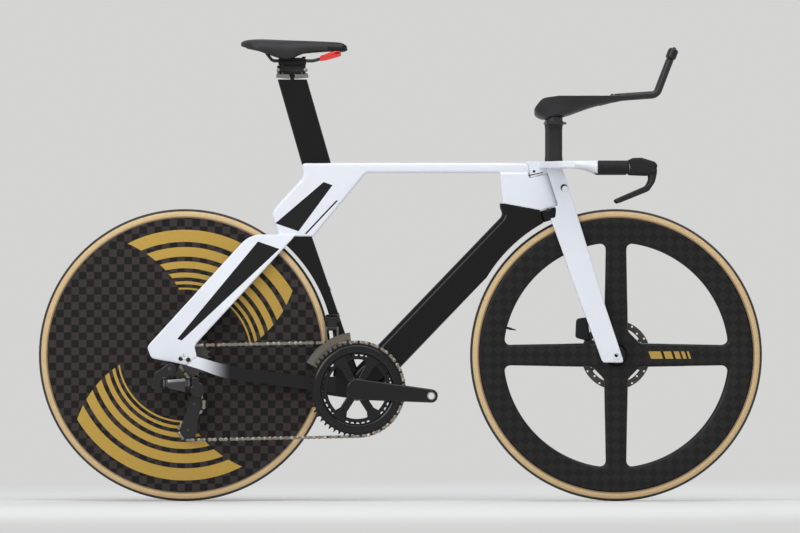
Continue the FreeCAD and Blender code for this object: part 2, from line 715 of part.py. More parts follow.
# Steering axis: s runs up the axis, n runs square to it, forward.
head_tilt = math.radians(HEAD_ANGLE)
UP_AXIS = V(-math.cos(head_tilt), 0, math.sin(head_tilt))
AHEAD = V(math.sin(head_tilt), 0, math.cos(head_tilt))
AXIS_FOOT = FRONT_HUB - AHEAD * FORK_OFFSET
top_z = BOTTOM_BRACKET.z + TOP_TUBE_RISE
under_z = top_z - TOP_TUBE_DEPTH
HEAD_TOP = (top_z - HEAD_DROP - AXIS_FOOT.z) / UP_AXIS.z
HEAD_LOW = HEAD_TOP - HEAD_LENGTH
BAR_TOP = top_z + BAR_RISE


def steer(s, n, radius=0.0):
    point = AXIS_FOOT + UP_AXIS * s + AHEAD * n
    return (point.x, point.z, radius)


def on_axis(radius, s_low, s_high):
    return rod(AXIS_FOOT + UP_AXIS * s_low, AXIS_FOOT + UP_AXIS * s_high, radius)


def from_bb(dx, dz, radius=0.0):
    return (BOTTOM_BRACKET.x + dx, BOTTOM_BRACKET.z + dz, radius)


def from_rear(dx, dz, radius=0.0):
    return (REAR_HUB.x + dx, REAR_HUB.z + dz, radius)


def from_front(dx, dz, radius=0.0):
    return (FRONT_HUB.x + dx, FRONT_HUB.z + dz, radius)


rear_wheel_space = across(REAR_HUB, TYRE_OUTER_R + TYRE_ROOM, -WIDE, WIDE)
front_wheel_space = across(FRONT_HUB, TYRE_OUTER_R + DOWN_TUBE_ROOM, -WIDE, WIDE)
bb_space = across(BOTTOM_BRACKET, BB_SHELL_R, -WIDE, WIDE)
turret_space = on_axis(TURRET_R + RUN_GAP, HEAD_TOP, HEAD_TOP + 200)
crown_space = on_axis(CROWN_HALF + CROWN_ROOM, 0, HEAD_LOW)

# Top tube: slim and level, from the seat cluster to the bar turret.
cluster_front = from_bb(30.5, 0)[0]
top_tube = soft_slab([
    (cluster_front - 40, under_z, 9), (cluster_front - 40, top_z, 9),
    (steer(HEAD_TOP, 0)[0] + 40, top_z, 9), (steer(HEAD_TOP, 0)[0] + 40, under_z, 9),
], -TOP_TUBE_HALF, TOP_TUBE_HALF, 7)
behind_cluster = Part.makeBox(100, WIDE, 100, V(cluster_front - 100, -WIDE / 2, top_z - 50))
turret_front = slab([
    steer(HEAD_TOP - 60, 0), steer(HEAD_TOP - 60, 120), steer(HEAD_TOP + 90, 120), steer(HEAD_TOP + 90, 0),
], -WIDE, WIDE)
keep("top_tube", top_tube.cut(behind_cluster).cut(turret_front).cut(turret_space))

# Head tube: a slim nose about the steering axis, faired back into the tubes.
SEAM_BEND = -HEAD_HALF - 1
head_corners = [
    (steer(HEAD_TOP, -96)[0], under_z, 0), steer(HEAD_LOW + 42, -100.3), steer(HEAD_LOW, SEAM_BEND),
    steer(HEAD_LOW, 0),
    steer(HEAD_TOP, 0), steer(HEAD_TOP, -TURRET_R), (steer(HEAD_TOP + 12, -TURRET_R)[0], under_z, 0),
]
head_tube = slab(head_corners, -HEAD_HALF, HEAD_HALF)
head_tube = head_tube.fuse(on_axis(HEAD_HALF, HEAD_LOW, HEAD_TOP)).cut(turret_space)
head_tube = head_tube.cut(on_axis(BEARING_R, HEAD_LOW - 1, HEAD_TOP + 1)).removeSplitter()
keep("head_tube", head_tube)
bearing_low = on_axis(BEARING_R, HEAD_LOW, HEAD_LOW + BEARING_HEIGHT)
bearing_high = on_axis(BEARING_R, HEAD_TOP - BEARING_HEIGHT, HEAD_TOP)
rod_space = on_axis(STEERER_R + SHAFT_GAP, HEAD_LOW - 50, HEAD_TOP + 50)
keep("frame_bearings", bearing_low.cut(rod_space), bearing_high.cut(rod_space), right_cup,
    mirrored(right_cup))

# Down tube: deep, with a front edge that follows the front tyre.
down_tube = soft_slab([
    from_bb(-52, -2, 22), from_bb(-4, -56, 22), from_bb(103, 52, 200), from_bb(330, 289, 30),
    steer(HEAD_LOW - 10, 40, 22), steer(HEAD_LOW + 80, 0, 22), steer(HEAD_LOW + 100, -90, 22),
    from_bb(330, 420, 22), from_bb(337, 402.5, 30),
], -DOWN_TUBE_HALF, DOWN_TUBE_HALF, 15)
above_head_seam = slab([
    steer(HEAD_LOW + 133, -300), steer(HEAD_LOW + 42, -100.3), steer(HEAD_LOW, SEAM_BEND), steer(HEAD_LOW,
        200),
    steer(HEAD_LOW + 300, 200), steer(HEAD_LOW + 300, -300),
], -WIDE, WIDE)
ahead_of_axis = slab([
    steer(HEAD_LOW - 200, 0), steer(HEAD_LOW + 200, 0), steer(HEAD_LOW + 200, 200), steer(HEAD_LOW - 200,
        200),
], -WIDE, WIDE)
behind_bb = slab([from_bb(-23.5, 22.5), from_bb(27.5, -26.5), from_bb(0, -200), from_bb(-300, 0)], -WIDE,
    WIDE)
down_tube = down_tube.cut(front_wheel_space).cut(above_head_seam).cut(crown_space).cut(ahead_of_axis)
down_tube = down_tube.cut(behind_bb).cut(bb_space)
keep("down_tube", down_tube)

# Bottom bracket shell: bore for the cups, with a yoke back to the chain stays.
yoke_back = -49.5
shell = across(BOTTOM_BRACKET, BB_SHELL_R, -BB_HALF, BB_HALF)
yoke = slab([from_bb(-23.5, 22.5), from_bb(yoke_back, 28.5), from_bb(yoke_back, -7.5), from_bb(-9.5, -23.5),
             from_bb(0, 0)], -BB_HALF, BB_HALF)
shell = shell.fuse(yoke).cut(across(BOTTOM_BRACKET, CUP_R, -WIDE, WIDE)).removeSplitter()

# Seat tube: a thin blade that follows the rear tyre; two threaded bosses on its front edge.
split_z = BOTTOM_BRACKET.z + SEAT_SPLIT_RISE
seat_tube = slab([
    from_bb(-104, SEAT_SPLIT_RISE), from_bb(-27.5, 129.5), from_bb(0.5, 47.5), from_bb(-23.5, 22.5),
    from_bb(yoke_back, 28.5), from_bb(-80, 33), from_bb(-200, SEAT_SPLIT_RISE),
], -FRAME_HALF, FRAME_HALF)
seat_tube = seat_tube.cut(rear_wheel_space).cut(bb_space).cut(down_tube)
front_edge = V(-27.5 + 104, 0, 129.5 - SEAT_SPLIT_RISE).normalize()
boss_out = V(-front_edge.z, 0, front_edge.x)
boss_low = V(*from_bb(-27.5, 129.5)[:1], 0, from_bb(-27.5, 129.5)[1]) - front_edge * 45
boss_holes = []
boss_rings = []
for boss in (0, 1):
    mouth = boss_low - front_edge * (BOSS_SPACING * boss)
    boss_holes.append(rod(mouth + boss_out, mouth - boss_out * BOSS_DEPTH, BOSS_THREAD_R + 1.5))
    sleeve = rod(mouth, mouth - boss_out * BOSS_DEPTH, BOSS_THREAD_R + 1.5)
    sleeve = sleeve.fuse(rod(mouth, mouth + boss_out, BOSS_THREAD_R + 3))
    boss_rings.append(sleeve.cut(rod(mouth + boss_out * 2, mouth - boss_out * 30,
        BOSS_THREAD_R)).removeSplitter())
seat_tube = seat_tube.cut(Part.makeCompound(boss_holes))
blade_edges = []
for edge in seat_tube.Edges:
    box = edge.BoundBox
    if box.YLength < FLAT and box.ZLength > 150:
        blade_edges.append(edge)
seat_tube = seat_tube.makeFillet(6, blade_edges)
keep("seat_tube", seat_tube.fuse(shell).cut(down_tube).removeSplitter())
keep("bottle_bosses", *boss_rings)

# Seat cluster: the gusset that joins top tube, seat tube, stays and post.
post_tilt = math.radians(POST_LEAN)
POST_UP = V(-math.cos(post_tilt), 0, math.sin(post_tilt))
POST_AHEAD = V(math.sin(post_tilt), 0, math.cos(post_tilt))
POST_MOUTH = V(*from_bb(-94.5, 0)[:1], 0, top_z)


def post_block(depth, half, corner, low, high, offset=0.0):
    """Bar of rounded section along the seatpost axis."""
    def place(t, y):
        return POST_MOUTH + POST_AHEAD * (t + offset) + POST_UP * low + V(0, y, 0)
    ring = outline([(-depth / 2, -half, corner), (depth / 2, -half, corner),
                    (depth / 2, half, corner), (-depth / 2, half, corner)], place)
    return Part.Face(ring).extrude(POST_UP * (high - low))


WEDGE_DEPTH = 9.0
WEDGE_HALF = 7.0
WEDGE_LENGTH = 34.0
WEDGE_SINK = 12.0
wedge_offset = (POST_DEPTH + WEDGE_DEPTH) / 2 + 2 * RUN_GAP
cluster = soft_slab([
    (cluster_front + 40, top_z, 9), (cluster_front + 40, under_z, 9), from_bb(21,
        under_z - BOTTOM_BRACKET.z, 16),
    from_bb(-100.5, SEAT_SPLIT_RISE, 60), from_bb(-120, SEAT_SPLIT_RISE - 60, 9),
    from_bb(-215, SEAT_SPLIT_RISE - 60, 9), from_bb(-183, SEAT_SPLIT_RISE + 5, 30),
    from_bb(-199.5, SEAT_SPLIT_RISE + 56, 24), from_bb(-122.5, SEAT_SPLIT_RISE + 141, 24),
    (from_bb(-130.5, 0)[0], top_z, 9),
], -FRAME_HALF, FRAME_HALF, 6)
cluster = cluster.cut(Part.makeBox(100, WIDE, 100, V(cluster_front, -WIDE / 2, top_z - 50)))
cluster = cluster.cut(Part.makeBox(WIDE, WIDE, 100, V(from_bb(-300, 0)[0], -WIDE / 2, split_z - 100)))
cluster = cluster.cut(rear_wheel_space)
cluster = cluster.cut(post_block(POST_DEPTH + 2 * RUN_GAP, POST_HALF + RUN_GAP, POST_HALF - 0.5,
                                 -POST_INSERT - POST_DROP - 2, 60))
cluster = cluster.cut(post_block(WEDGE_DEPTH + 2 * RUN_GAP, WEDGE_HALF + RUN_GAP, 1, -WEDGE_LENGTH, 60,
    wedge_offset))
keep("seat_cluster", cluster)
wedge = post_block(WEDGE_DEPTH, WEDGE_HALF, 1, -WEDGE_LENGTH, -WEDGE_SINK, wedge_offset)
wedge_bolt = POST_MOUTH + POST_AHEAD * wedge_offset - POST_UP * WEDGE_SINK
keep("seatpost_wedge", wedge.cut(rod(wedge_bolt - POST_UP * 12, wedge_bolt, 2.5)))

# Stays: deep blades each side of the disc, flared out to the dropouts.
stay_down = V(-0.676, 0, -0.737).normalize()
stay_across = V(-stay_down.z, 0, stay_down.x)
stay_top = V(*from_rear(199, 282)[:1], 0, from_rear(199, 282)[1])
stay_inner = TYRE_SECTION_R + STAY_ROOM
drop_inner = REAR_WIDTH / 2
drop_outer = drop_inner + DROPOUT


def stay_place(s, y):
    return stay_top + stay_down * s + V(0, y, 0) - stay_across * WIDE


stay_sides = Part.Face(outline([
    (-80, FRAME_HALF, 0), (-14, FRAME_HALF, 0), (-6, stay_inner, 6), (40, stay_inner, 60), (215,
        drop_inner, 60),
    (STAY_RUN, drop_inner, 0), (STAY_RUN, drop_outer, 0), (205, drop_outer, 80), (0,
        stay_inner + STAY_THICK, 90),
    (-80, FRAME_HALF + 1.5, 0),
], stay_place)).extrude(stay_across * (2 * WIDE))
stay_side_view = slab([
    from_rear(23, 22, 14), from_rear(234, 252, 30), from_rear(270, 292, 8), from_rear(232, 328, 20),
    from_rear(208, 283, 12), from_rear(179, 283, 40), from_rear(142, 270, 60), from_rear(-79, 28, 22),
    from_rear(-86, 18, 10), from_rear(-76, -7, 12), from_rear(5, -23, 0), from_rear(29, -3, 0),
], 0, WIDE)
seat_stay = stay_sides.common(stay_side_view)
axle_hole = across(REAR_HUB, AXLE_R, -WIDE, WIDE)
seat_stay = seat_stay.cut(axle_hole)

# The derailleur hanger sits in a pocket on the inside of the right dropout.
hanger_eye = V(*from_rear(-32, 0)[:1], 0, from_rear(0, -32)[1])
hanger_face = -drop_inner - HANGER_THICK
hanger = slab([
    from_rear(14, -10, 6), from_rear(-10, 14, 8), from_rear(-40, -22, 10), from_rear(-42, -42, 9),
    from_rear(-22, -42, 9), from_rear(-6, -14, 10),
], hanger_face, -drop_inner)
keep("seat_stays", seat_stay, mirrored(seat_stay).cut(hanger))

chain_sides = Part.Face(outline([
    from_bb(yoke_back, 0)[:1] + (stay_inner, 0), from_rear(262, 0)[:1] + (stay_inner, 80),
    from_rear(62, 0)[:1] + (drop_inner, 60), from_rear(-30, 0)[:1] + (drop_inner, 0),
    from_rear(-30, 0)[:1] + (drop_outer, 0), from_rear(42, 0)[:1] + (drop_outer, 60),
    from_rear(278, 0)[:1] + (stay_inner + STAY_THICK + 3, 80),
    from_bb(yoke_back, 0)[:1] + (stay_inner + STAY_THICK + 1, 0),
], plan)).extrude(V(0, 0, WIDE))
chain_side_view = slab([
    from_bb(yoke_back, 28.5), from_rear(298, -50, 60), from_rear(139, -31, 200), from_rear(76, -17, 100),
    from_rear(29, -3, 0), from_rear(5, -23, 0), from_rear(35, -32, 40), from_rear(72.5, -46, 40),
    from_rear(101, -54.5, 60), from_rear(139, -60, 100), from_rear(298, -81, 60), from_bb(yoke_back, -7.5),
], 0, WIDE)
chain_stay = chain_sides.common(chain_side_view)
keep("chain_stays", chain_stay, mirrored(chain_stay).cut(hanger))
keep("rear_thru_axle", thru_axle(REAR_HUB, REAR_WIDTH / 2, DROPOUT))

# Fork: two blades and a crown, with an outer steerer in front of the head tube.
blade_inner = FRONT_WIDTH / 2
blade_outer = blade_inner + BLADE_FOOT
crown_inner = TYRE_SECTION_R + 6
bar_under = BAR_TOP - BAR_THICK
fork_side = slab([
    steer(HEAD_LOW - RUN_GAP, -7, 6), from_front(-134, 266, 200), from_front(-84.5, 127, 300),
    from_front(-34, -12, 12), from_front(-30, -17, 8), from_front(15, -17, 10), from_front(16, -11, 20),
    from_front(-30, 127, 300), from_front(-72, 267, 300), from_front(-106, 376, 60), from_front(-114, 402,
        40),
    (from_front(-124, 0)[0], bar_under, 0), (steer(HEAD_TOP + 8, HEAD_HALF + 1)[0], bar_under, 0),
    steer(HEAD_TOP - 20, HEAD_HALF + 1), steer(HEAD_LOW - RUN_GAP, HEAD_HALF + 1),
], -WIDE, WIDE)


def front_view(corners):
    """Prism with a front-view outline of corners (y, z, radius)."""
    body = Part.Face(outline(corners, lambda y, z: V(0, y, z))).extrude(V(2 * WIDE, 0, 0))
    return body


hub_z = FRONT_HUB.z
right_outer = [(blade_outer, hub_z - 30, 0), (blade_outer, hub_z + 14, 60), (CROWN_HALF + 4, hub_z + 302, 80),
               (CROWN_HALF - 4, hub_z + 362, 60), (HEAD_HALF - 2, hub_z + 500, 0)]
fork_front = front_view(right_outer + [(-y, z, radius) for y, z, radius in reversed(right_outer)])
right_inner = [(blade_inner, hub_z - 40, 0), (blade_inner, hub_z + 14, 60), (crown_inner, hub_z + 302, 80),
               (crown_inner, hub_z + 600, 0)]
leg_gap = front_view(right_inner + [(-y, z, radius) for y, z, radius in reversed(right_inner)])
leg_gap = leg_gap.common(across(FRONT_HUB, TYRE_OUTER_R + FORK_TYRE_ROOM, -WIDE, WIDE))
fork = fork_side.common(fork_front).cut(leg_gap)
fork = fork.cut(across(FRONT_HUB, AXLE_R, -WIDE, WIDE))
fork = fork.cut(on_axis(STEERER_R, HEAD_LOW - 12, HEAD_LOW))
fork = fork.cut(on_axis(TURRET_R, HEAD_TOP + RUN_GAP, HEAD_TOP + 90))
keep("fork", fork)
keep("front_thru_axle", thru_axle(FRONT_HUB, FRONT_WIDTH / 2, BLADE_FOOT))
keep("steering_rod", on_axis(STEERER_R, HEAD_LOW - 12, HEAD_TOP + 12))

# Calipers: blocks with a slot for the rotor, seated on the left stay and the left blade.
def caliper(corners, y_low, y_high, hub, rotor_r, rotor_y):
    body = soft_slab(corners, y_low, y_high, 4)
    slot = across(hub, rotor_r + 3, rotor_y - ROTOR_THICK / 2 - 0.8, rotor_y + ROTOR_THICK / 2 + 0.8)
    return body.cut(slot)


rear_caliper = caliper([
    from_rear(96, -22.5, 5), from_rear(48, -9.5, 5), from_rear(52, 24, 9), from_rear(88, 20, 9),
], rear_rotor_y - 13, rear_rotor_y + 12, REAR_HUB, REAR_ROTOR_R, rear_rotor_y)
keep("rear_brake_caliper", rear_caliper.cut(nodes["chain_stays"]))
front_caliper = caliper([
    from_front(-58, 30, 6), from_front(-94, 40, 8), from_front(-92, 84, 9), from_front(-66, 88, 8),
], front_rotor_y - 13, front_rotor_y + 12, FRONT_HUB, FRONT_ROTOR_R, front_rotor_y)
keep("front_brake_caliper", front_caliper.cut(nodes["fork"]))

# Base bar: a turret about the steering axis, flat wings and forward horns.
horn_x = steer(HEAD_TOP, 0)[0]
turret = on_axis(TURRET_R, HEAD_TOP + RUN_GAP, HEAD_TOP + 90)
turret = turret.cut(Part.makeBox(WIDE, WIDE, WIDE, V(horn_x - 200, -WIDE / 2, BAR_TOP)))
wing_corners = [
    (horn_x - 8, 0, 0), (horn_x + 62, 0, 0), (horn_x + 66, 40, 60), (horn_x + 98, BAR_HALF_WIDTH - 28, 30),
    (horn_x + 118, BAR_HALF_WIDTH - 15, 12), (horn_x + 132, BAR_HALF_WIDTH - 13, 0),
    (horn_x + 132, BAR_HALF_WIDTH + 13, 0), (horn_x + 92, BAR_HALF_WIDTH + 11, 30),
    (horn_x + 46, BAR_HALF_WIDTH - 18, 60), (horn_x + 8, 50, 60),
]
wing = Part.Face(outline(wing_corners, plan)).extrude(V(0, 0, BAR_THICK))
wing.translate(V(0, 0, bar_under))
grip_z = BAR_TOP - GRIP_R + 1
grip_start = V(horn_x + 132, BAR_HALF_WIDTH, grip_z)


def oval(x, y, z, half_y, half_z):
    """Closed oval section square to the length of the bicycle."""
    points = []
    for step in range(12):
        angle = 2 * math.pi * step / 12
        points.append(V(x, y + half_y * math.cos(angle), z + half_z * math.sin(angle)))
    curve = Part.BSplineCurve()
    curve.interpolate(points, PeriodicFlag=True)
    return Part.Wire(curve.toShape())


horn = Part.makeLoft([
    oval(horn_x + 80, BAR_HALF_WIDTH, BAR_TOP - BAR_THICK / 2, 13, BAR_THICK / 2 - 0.5),
    oval(horn_x + 108, BAR_HALF_WIDTH, BAR_TOP - BAR_THICK / 2 - 2, 14, BAR_THICK / 2 + 2),
    oval(grip_start.x, BAR_HALF_WIDTH, grip_z, GRIP_R, GRIP_R),
], True)
core = rod(grip_start, grip_start + V(GRIP_LENGTH + 8, 0, 0), GRIP_CORE_R)
half_bar = wing.fuse([horn, core])
base_bar = half_bar.fuse([mirrored(half_bar), turret])
base_bar = base_bar.cut(on_axis(STEERER_R, HEAD_TOP, HEAD_TOP + 12)).removeSplitter()
keep("base_bar", base_bar)

# Grips, hoods and levers at the ends of the horns.
grip = rod(grip_start, grip_start + V(GRIP_LENGTH, 0, 0), GRIP_R)
grip = grip.cut(rod(grip_start, grip_start + V(GRIP_LENGTH, 0, 0), GRIP_CORE_R))
keep("bar_grips", grip, mirrored(grip))
hood_x = grip_start.x + GRIP_LENGTH
LEVER_PIVOT = V(hood_x + 55, 0, grip_z - 6.5)


def from_hood(dx, dz, radius=0.0):
    return (hood_x + dx, grip_z + dz, radius)


hood = soft_slab([
    from_hood(0, -16, 8), from_hood(0, 21, 9), from_hood(28, 22, 12), from_hood(60, 12, 12), from_hood(66,
        2, 10),
    from_hood(50, -18, 10),
], BAR_HALF_WIDTH - HOOD_HALF, BAR_HALF_WIDTH + HOOD_HALF, 7)
lever_slot = slab([
    from_hood(26, -40, 0), from_hood(26, 0, 10), from_hood(44, 14, 10), from_hood(90, 14, 0), from_hood(90,
        -40, 0),
], BAR_HALF_WIDTH - LEVER_HALF - RUN_GAP, BAR_HALF_WIDTH + LEVER_HALF + RUN_GAP)
lever_pin = across(LEVER_PIVOT, 2.5, BAR_HALF_WIDTH - 11, BAR_HALF_WIDTH + 11)
hood = hood.cut(lever_slot).cut(rod(grip_start, grip_start + V(GRIP_LENGTH + 8, 0, 0), GRIP_CORE_R))
hood = hood.fuse(lever_pin).removeSplitter()
keep("brake_hoods", hood, mirrored(hood))
lever_corners = [
    from_hood(47, 0, 8), from_hood(54, 9, 6), from_hood(62, 7, 6), from_hood(64, -10, 30), from_hood(59,
        -34, 30),
    from_hood(45, -55, 18), from_hood(-24, -83, 4), from_hood(-32, -76, 4), from_hood(-26, -71, 4),
    from_hood(43, -41, 14), from_hood(50, -26, 14),
]
lever = soft_slab(lever_corners, BAR_HALF_WIDTH - LEVER_HALF, BAR_HALF_WIDTH + LEVER_HALF, 2.5)
lever = lever.cut(across(LEVER_PIVOT, 2.5 + HINGE_GAP, BAR_HALF_WIDTH - 20, BAR_HALF_WIDTH + 20))
keep("brake_lever_left", lever)
keep("brake_lever_right", mirrored(lever))

# Riser: one column on the bar, with a bridge plate under both forearm cups.
riser_x = horn_x + 33
bridge_z = BAR_TOP + RISER_HEIGHT
riser = soft_slab([
    (riser_x - 23, BAR_TOP - 30, 12), (riser_x - RISER_CHORD, BAR_TOP + 15, 30),
    (riser_x - RISER_CHORD, bridge_z - 12, 20), (riser_x - 24, bridge_z + 30, 12),
    (riser_x + 25, bridge_z + 30, 12), (riser_x + RISER_CHORD, bridge_z - 12, 20),
    (riser_x + RISER_CHORD, BAR_TOP + 15, 30), (riser_x + 23, BAR_TOP - 30, 12),
], -RISER_HALF, RISER_HALF, 9)
riser_room = Part.makeBox(WIDE, WIDE, RISER_HEIGHT, V(riser_x - WIDE / 2, -WIDE / 2, BAR_TOP))
riser = riser.common(riser_room)
bridge_corners = [
    (riser_x - 23, 20 - CUP_SPREAD, 20), (riser_x - 23, CUP_SPREAD - 20, 20), (riser_x - 16,
        CUP_SPREAD + 16, 12),
    (riser_x + 20, CUP_SPREAD + 16, 12), (riser_x + 29, CUP_SPREAD - 20, 20), (riser_x + 29,
        20 - CUP_SPREAD, 20),
    (riser_x + 20, -CUP_SPREAD - 16, 12), (riser_x - 16, -CUP_SPREAD - 16, 12),
]
bridge = Part.Face(outline(bridge_corners, plan)).extrude(V(0, 0, BRIDGE_THICK))
bridge.translate(V(0, 0, bridge_z))


# Forearm extensions: scooped cups that run out into a slim bar and an upright grip.
def half_bowl(x, y, rim_z, half_width, depth):
    """Section of a trough: a straight rim closed by a half oval below it."""
    points = []
    for step in range(9):
        angle = math.pi * step / 8
        points.append(V(x, y + half_width * math.cos(angle), rim_z - depth * math.sin(angle)))
    curve = Part.BSplineCurve()
    curve.interpolate(points)
    return Part.Wire([curve.toShape(), Part.LineSegment(points[-1], points[0]).toShape()])


cup_rim = bridge_z + 66
cup_stations = [(-44, 0, 40, 44), (-36, 0, 44, 51), (-8, 0, 47, 55), (30, 0, 42, 47), (70, -4, 31, 33),
                (115, -11, 19, 20), (160, -20, 9, 11)]


def cup_loft(shrink, last, lift):
    sections = []
    for dx, dy, half_width, depth in cup_stations[:last]:
        sections.append(half_bowl(riser_x + dx, CUP_SPREAD + dy, cup_rim + lift, half_width - shrink,
            depth - shrink))
    return Part.makeLoft(sections, True)


cup_outer = cup_loft(0, 7, 0)
cup_inner = cup_loft(CUP_WALL, 6, 0.01)
bar_start = V(riser_x + 140, CUP_SPREAD - 16, cup_rim - 4)
grip_foot = V(riser_x + 238, GRIP_SPREAD, cup_rim + 3)
grip_head = V(riser_x + 269, GRIP_SPREAD, cup_rim + 84)
grip_up = (grip_head - grip_foot).normalize()
extension = cup_outer.fuse(pipe([bar_start, grip_foot, grip_head], EXTENSION_R, 16)).cut(cup_inner)
rear_slope = slab([
    (riser_x - 60, cup_rim - 62, 0), (riser_x - 42, cup_rim - 25, 16), (riser_x - 28, cup_rim - 6, 24),
    (riser_x + 10, cup_rim - 0.5, 30), (riser_x + 60, cup_rim - 0.4, 0), (riser_x + 60, cup_rim + 40, 0),
    (riser_x - 60, cup_rim + 40, 0),
], -WIDE, WIDE)
extension = extension.cut(rear_slope).removeSplitter()
keep("forearm_extensions", extension, mirrored(extension))
pad_space = cup_loft(CUP_WALL + RUN_GAP, 6, 0.01)
pad_inner = cup_loft(CUP_WALL + PAD_THICK, 6, 1)
pad_room = Part.makeBox(WIDE, WIDE, WIDE, V(riser_x + PAD_FRONT - WIDE, 0, cup_rim - WIDE / 2))
pad_slope = slab([
    (riser_x - 90, cup_rim - 70, 0), (riser_x - 38, cup_rim - 32, 16), (riser_x - 24, cup_rim - 14, 24),
    (riser_x + 10, cup_rim - 10, 30), (riser_x + 60, cup_rim - 10, 0), (riser_x + 60, cup_rim + 40, 0),
    (riser_x - 90, cup_rim + 40, 0),
], -WIDE, WIDE)
arm_pad = pad_space.cut(pad_inner).cut(pad_slope).common(pad_room)
keep("arm_pads", arm_pad, mirrored(arm_pad))
boss = rod(V(riser_x, CUP_SPREAD, bridge_z + BRIDGE_THICK), V(riser_x, CUP_SPREAD, cup_rim - 20),
    RISER_BOSS_R).cut(cup_outer)
riser = riser.fuse([bridge, boss, mirrored(boss)]).removeSplitter()
keep("riser", riser)

# Shifter pods on the extension tips, each with a sprung button.
pod_end = grip_head + grip_up * 27
pod = rod(grip_head, pod_end, POD_R)
pod = pod.makeFillet(POD_R * 0.6, [edge for edge in pod.Edges if edge.Closed])
pod = pod.cut(rod(pod_end - grip_up * 9, pod_end, BUTTON_R + HINGE_GAP))
pod = pod.cut(extension)
keep("shifter_pods", pod, mirrored(pod))
button = rod(pod_end - grip_up * (9 - BUTTON_TRAVEL - RUN_GAP), pod_end + grip_up * 2.5, BUTTON_R)
button = button.makeFillet(1.2, [edge for edge in button.Edges if edge.Closed and
                                 (edge.CenterOfMass - pod_end).dot(grip_up) > 0])
keep("tip_button_left", button)
keep("tip_button_right", mirrored(button))

# Seatpost: deep section, with a barrel on its head that the clamp tilts on.
post_top = top_z + POST_HEIGHT
post = post_block(POST_DEPTH, POST_HALF, POST_HALF - 0.8, -POST_INSERT, POST_HEIGHT * 1.3)
post = post.cut(Part.makeBox(WIDE, WIDE, WIDE, V(POST_MOUTH.x - 200, -WIDE / 2, post_top)))
head_x = POST_MOUTH.x + POST_UP.x / POST_UP.z * POST_HEIGHT
BARREL = V(head_x, 0, post_top + 9)
neck = Part.makeBox(9, 2 * POST_HALF, 9, V(BARREL.x - 4.5, -POST_HALF, post_top))
post = post.fuse([neck, across(BARREL, BARREL_R, -POST_HALF - 6, POST_HALF + 6)]).removeSplitter()
keep("seatpost", post)

# Saddle clamp: lower cradle on the barrel, upper plate over the rails, two bolts.
RAIL_Z = post_top + RAIL_RISE


def from_post(dx, dz, radius=0.0):
    return (head_x + dx, post_top + dz, radius)


base = soft_slab([
    from_post(-38, 4.4, 2), from_post(-12, 2, 4), from_post(12, 2, 4), from_post(38, 4.4, 2),
    from_post(36, 14, 2), from_post(-36, 14, 2),
], -17, 17, 1.5)
pillar = slab([from_post(-20, 11), from_post(20, 11), from_post(24, 36), from_post(-24, 36)], -14, 14)
cradle = soft_slab([
    from_post(-32, 33, 2), from_post(32, 33, 2), from_post(32, 43, 2), from_post(-32, 43, 2),
], -RAIL_SPREAD - 7, RAIL_SPREAD + 7, 1.5)
clamp_plate = soft_slab([
    from_post(-33, 43.3, 2), from_post(33, 43.3, 2), from_post(30, 50, 2), from_post(-30, 50, 2),
], -RAIL_SPREAD - 7, RAIL_SPREAD + 7, 1.5)
lower = base.fuse([pillar, cradle])
lower = lower.cut(across(BARREL, BARREL_R + RUN_GAP, -WIDE, WIDE))
neck_room = Part.makeBox(18, 2 * POST_HALF + 2, 20, V(BARREL.x - 9, -POST_HALF - 1, post_top - 8))
lower = lower.cut(neck_room)
rail_bores = []
for sign in (-1, 1):
    rail_bores.append(rod(V(head_x - 80, sign * RAIL_SPREAD, RAIL_Z), V(head_x + 80, sign * RAIL_SPREAD,
        RAIL_Z),
                          RAIL_R + RUN_GAP))
bolt_holes = []
clamp_bolts = []
for dx in (-27, 27):
    foot = V(head_x + dx, 0, post_top + 6)
    top = V(head_x + dx, 0, post_top + 50)
    bolt_holes.append(rod(foot, top, 2.5))
    clamp_bolts.append(rod(foot, top, 2.5).fuse(rod(top, top + V(0, 0, 3), 4.5)).removeSplitter())
lower = lower.cut(Part.makeCompound(rail_bores + bolt_holes)).removeSplitter()
upper = clamp_plate.cut(Part.makeCompound(rail_bores + bolt_holes))
keep("saddle_clamp", lower, upper, *clamp_bolts)

# Saddle: padded cover on a moulded shell, carried by two rails and a nose bridge.
SADDLE_STATIONS = [
    (-119, 22, 80, 86), (-106, 50, 75, 93), (-72, 66, 68, 94.5), (-22, 52, 62, 93), (28, 35, 63, 91),
    (78, 27, 67, 89), (114, 21, 69, 84), (128, 11, 70.5, 79),
]


def pad_section(dx, half_width, low, high):
    """Crowned section with sides that draw in towards the shell."""
    x = head_x + dx
    z_low = post_top + low
    z_high = post_top + high
    shoulder = z_high - 0.22 * (z_high - z_low)
    foot_r = V(x, 0.86 * half_width, z_low)
    foot_l = V(x, -0.86 * half_width, z_low)
    right = V(x, 0.84 * half_width, shoulder)
    left = V(x, -0.84 * half_width, shoulder)
    middle = (z_low + shoulder) / 2
    return Part.Wire([
        Part.LineSegment(foot_l, foot_r).toShape(),
        Part.Arc(foot_r, V(x, half_width, middle), right).toShape(),
        Part.Arc(right, V(x, 0, z_high), left).toShape(),
        Part.Arc(left, V(x, -half_width, middle), foot_l).toShape(),
    ])


SHELL_THICK = 3.0
keep("saddle_cover", Part.makeLoft([pad_section(*station) for station in SADDLE_STATIONS], True))


def shell_section(dx, half_width, low, _):
    place = [(-0.8 * half_width, low - RUN_GAP, 0), (0.8 * half_width, low - RUN_GAP, 0),
             (0.72 * half_width, low - SHELL_THICK, 0), (-0.72 * half_width, low - SHELL_THICK, 0)]
    return outline(place, lambda y, z: V(head_x + dx, y, post_top + z))


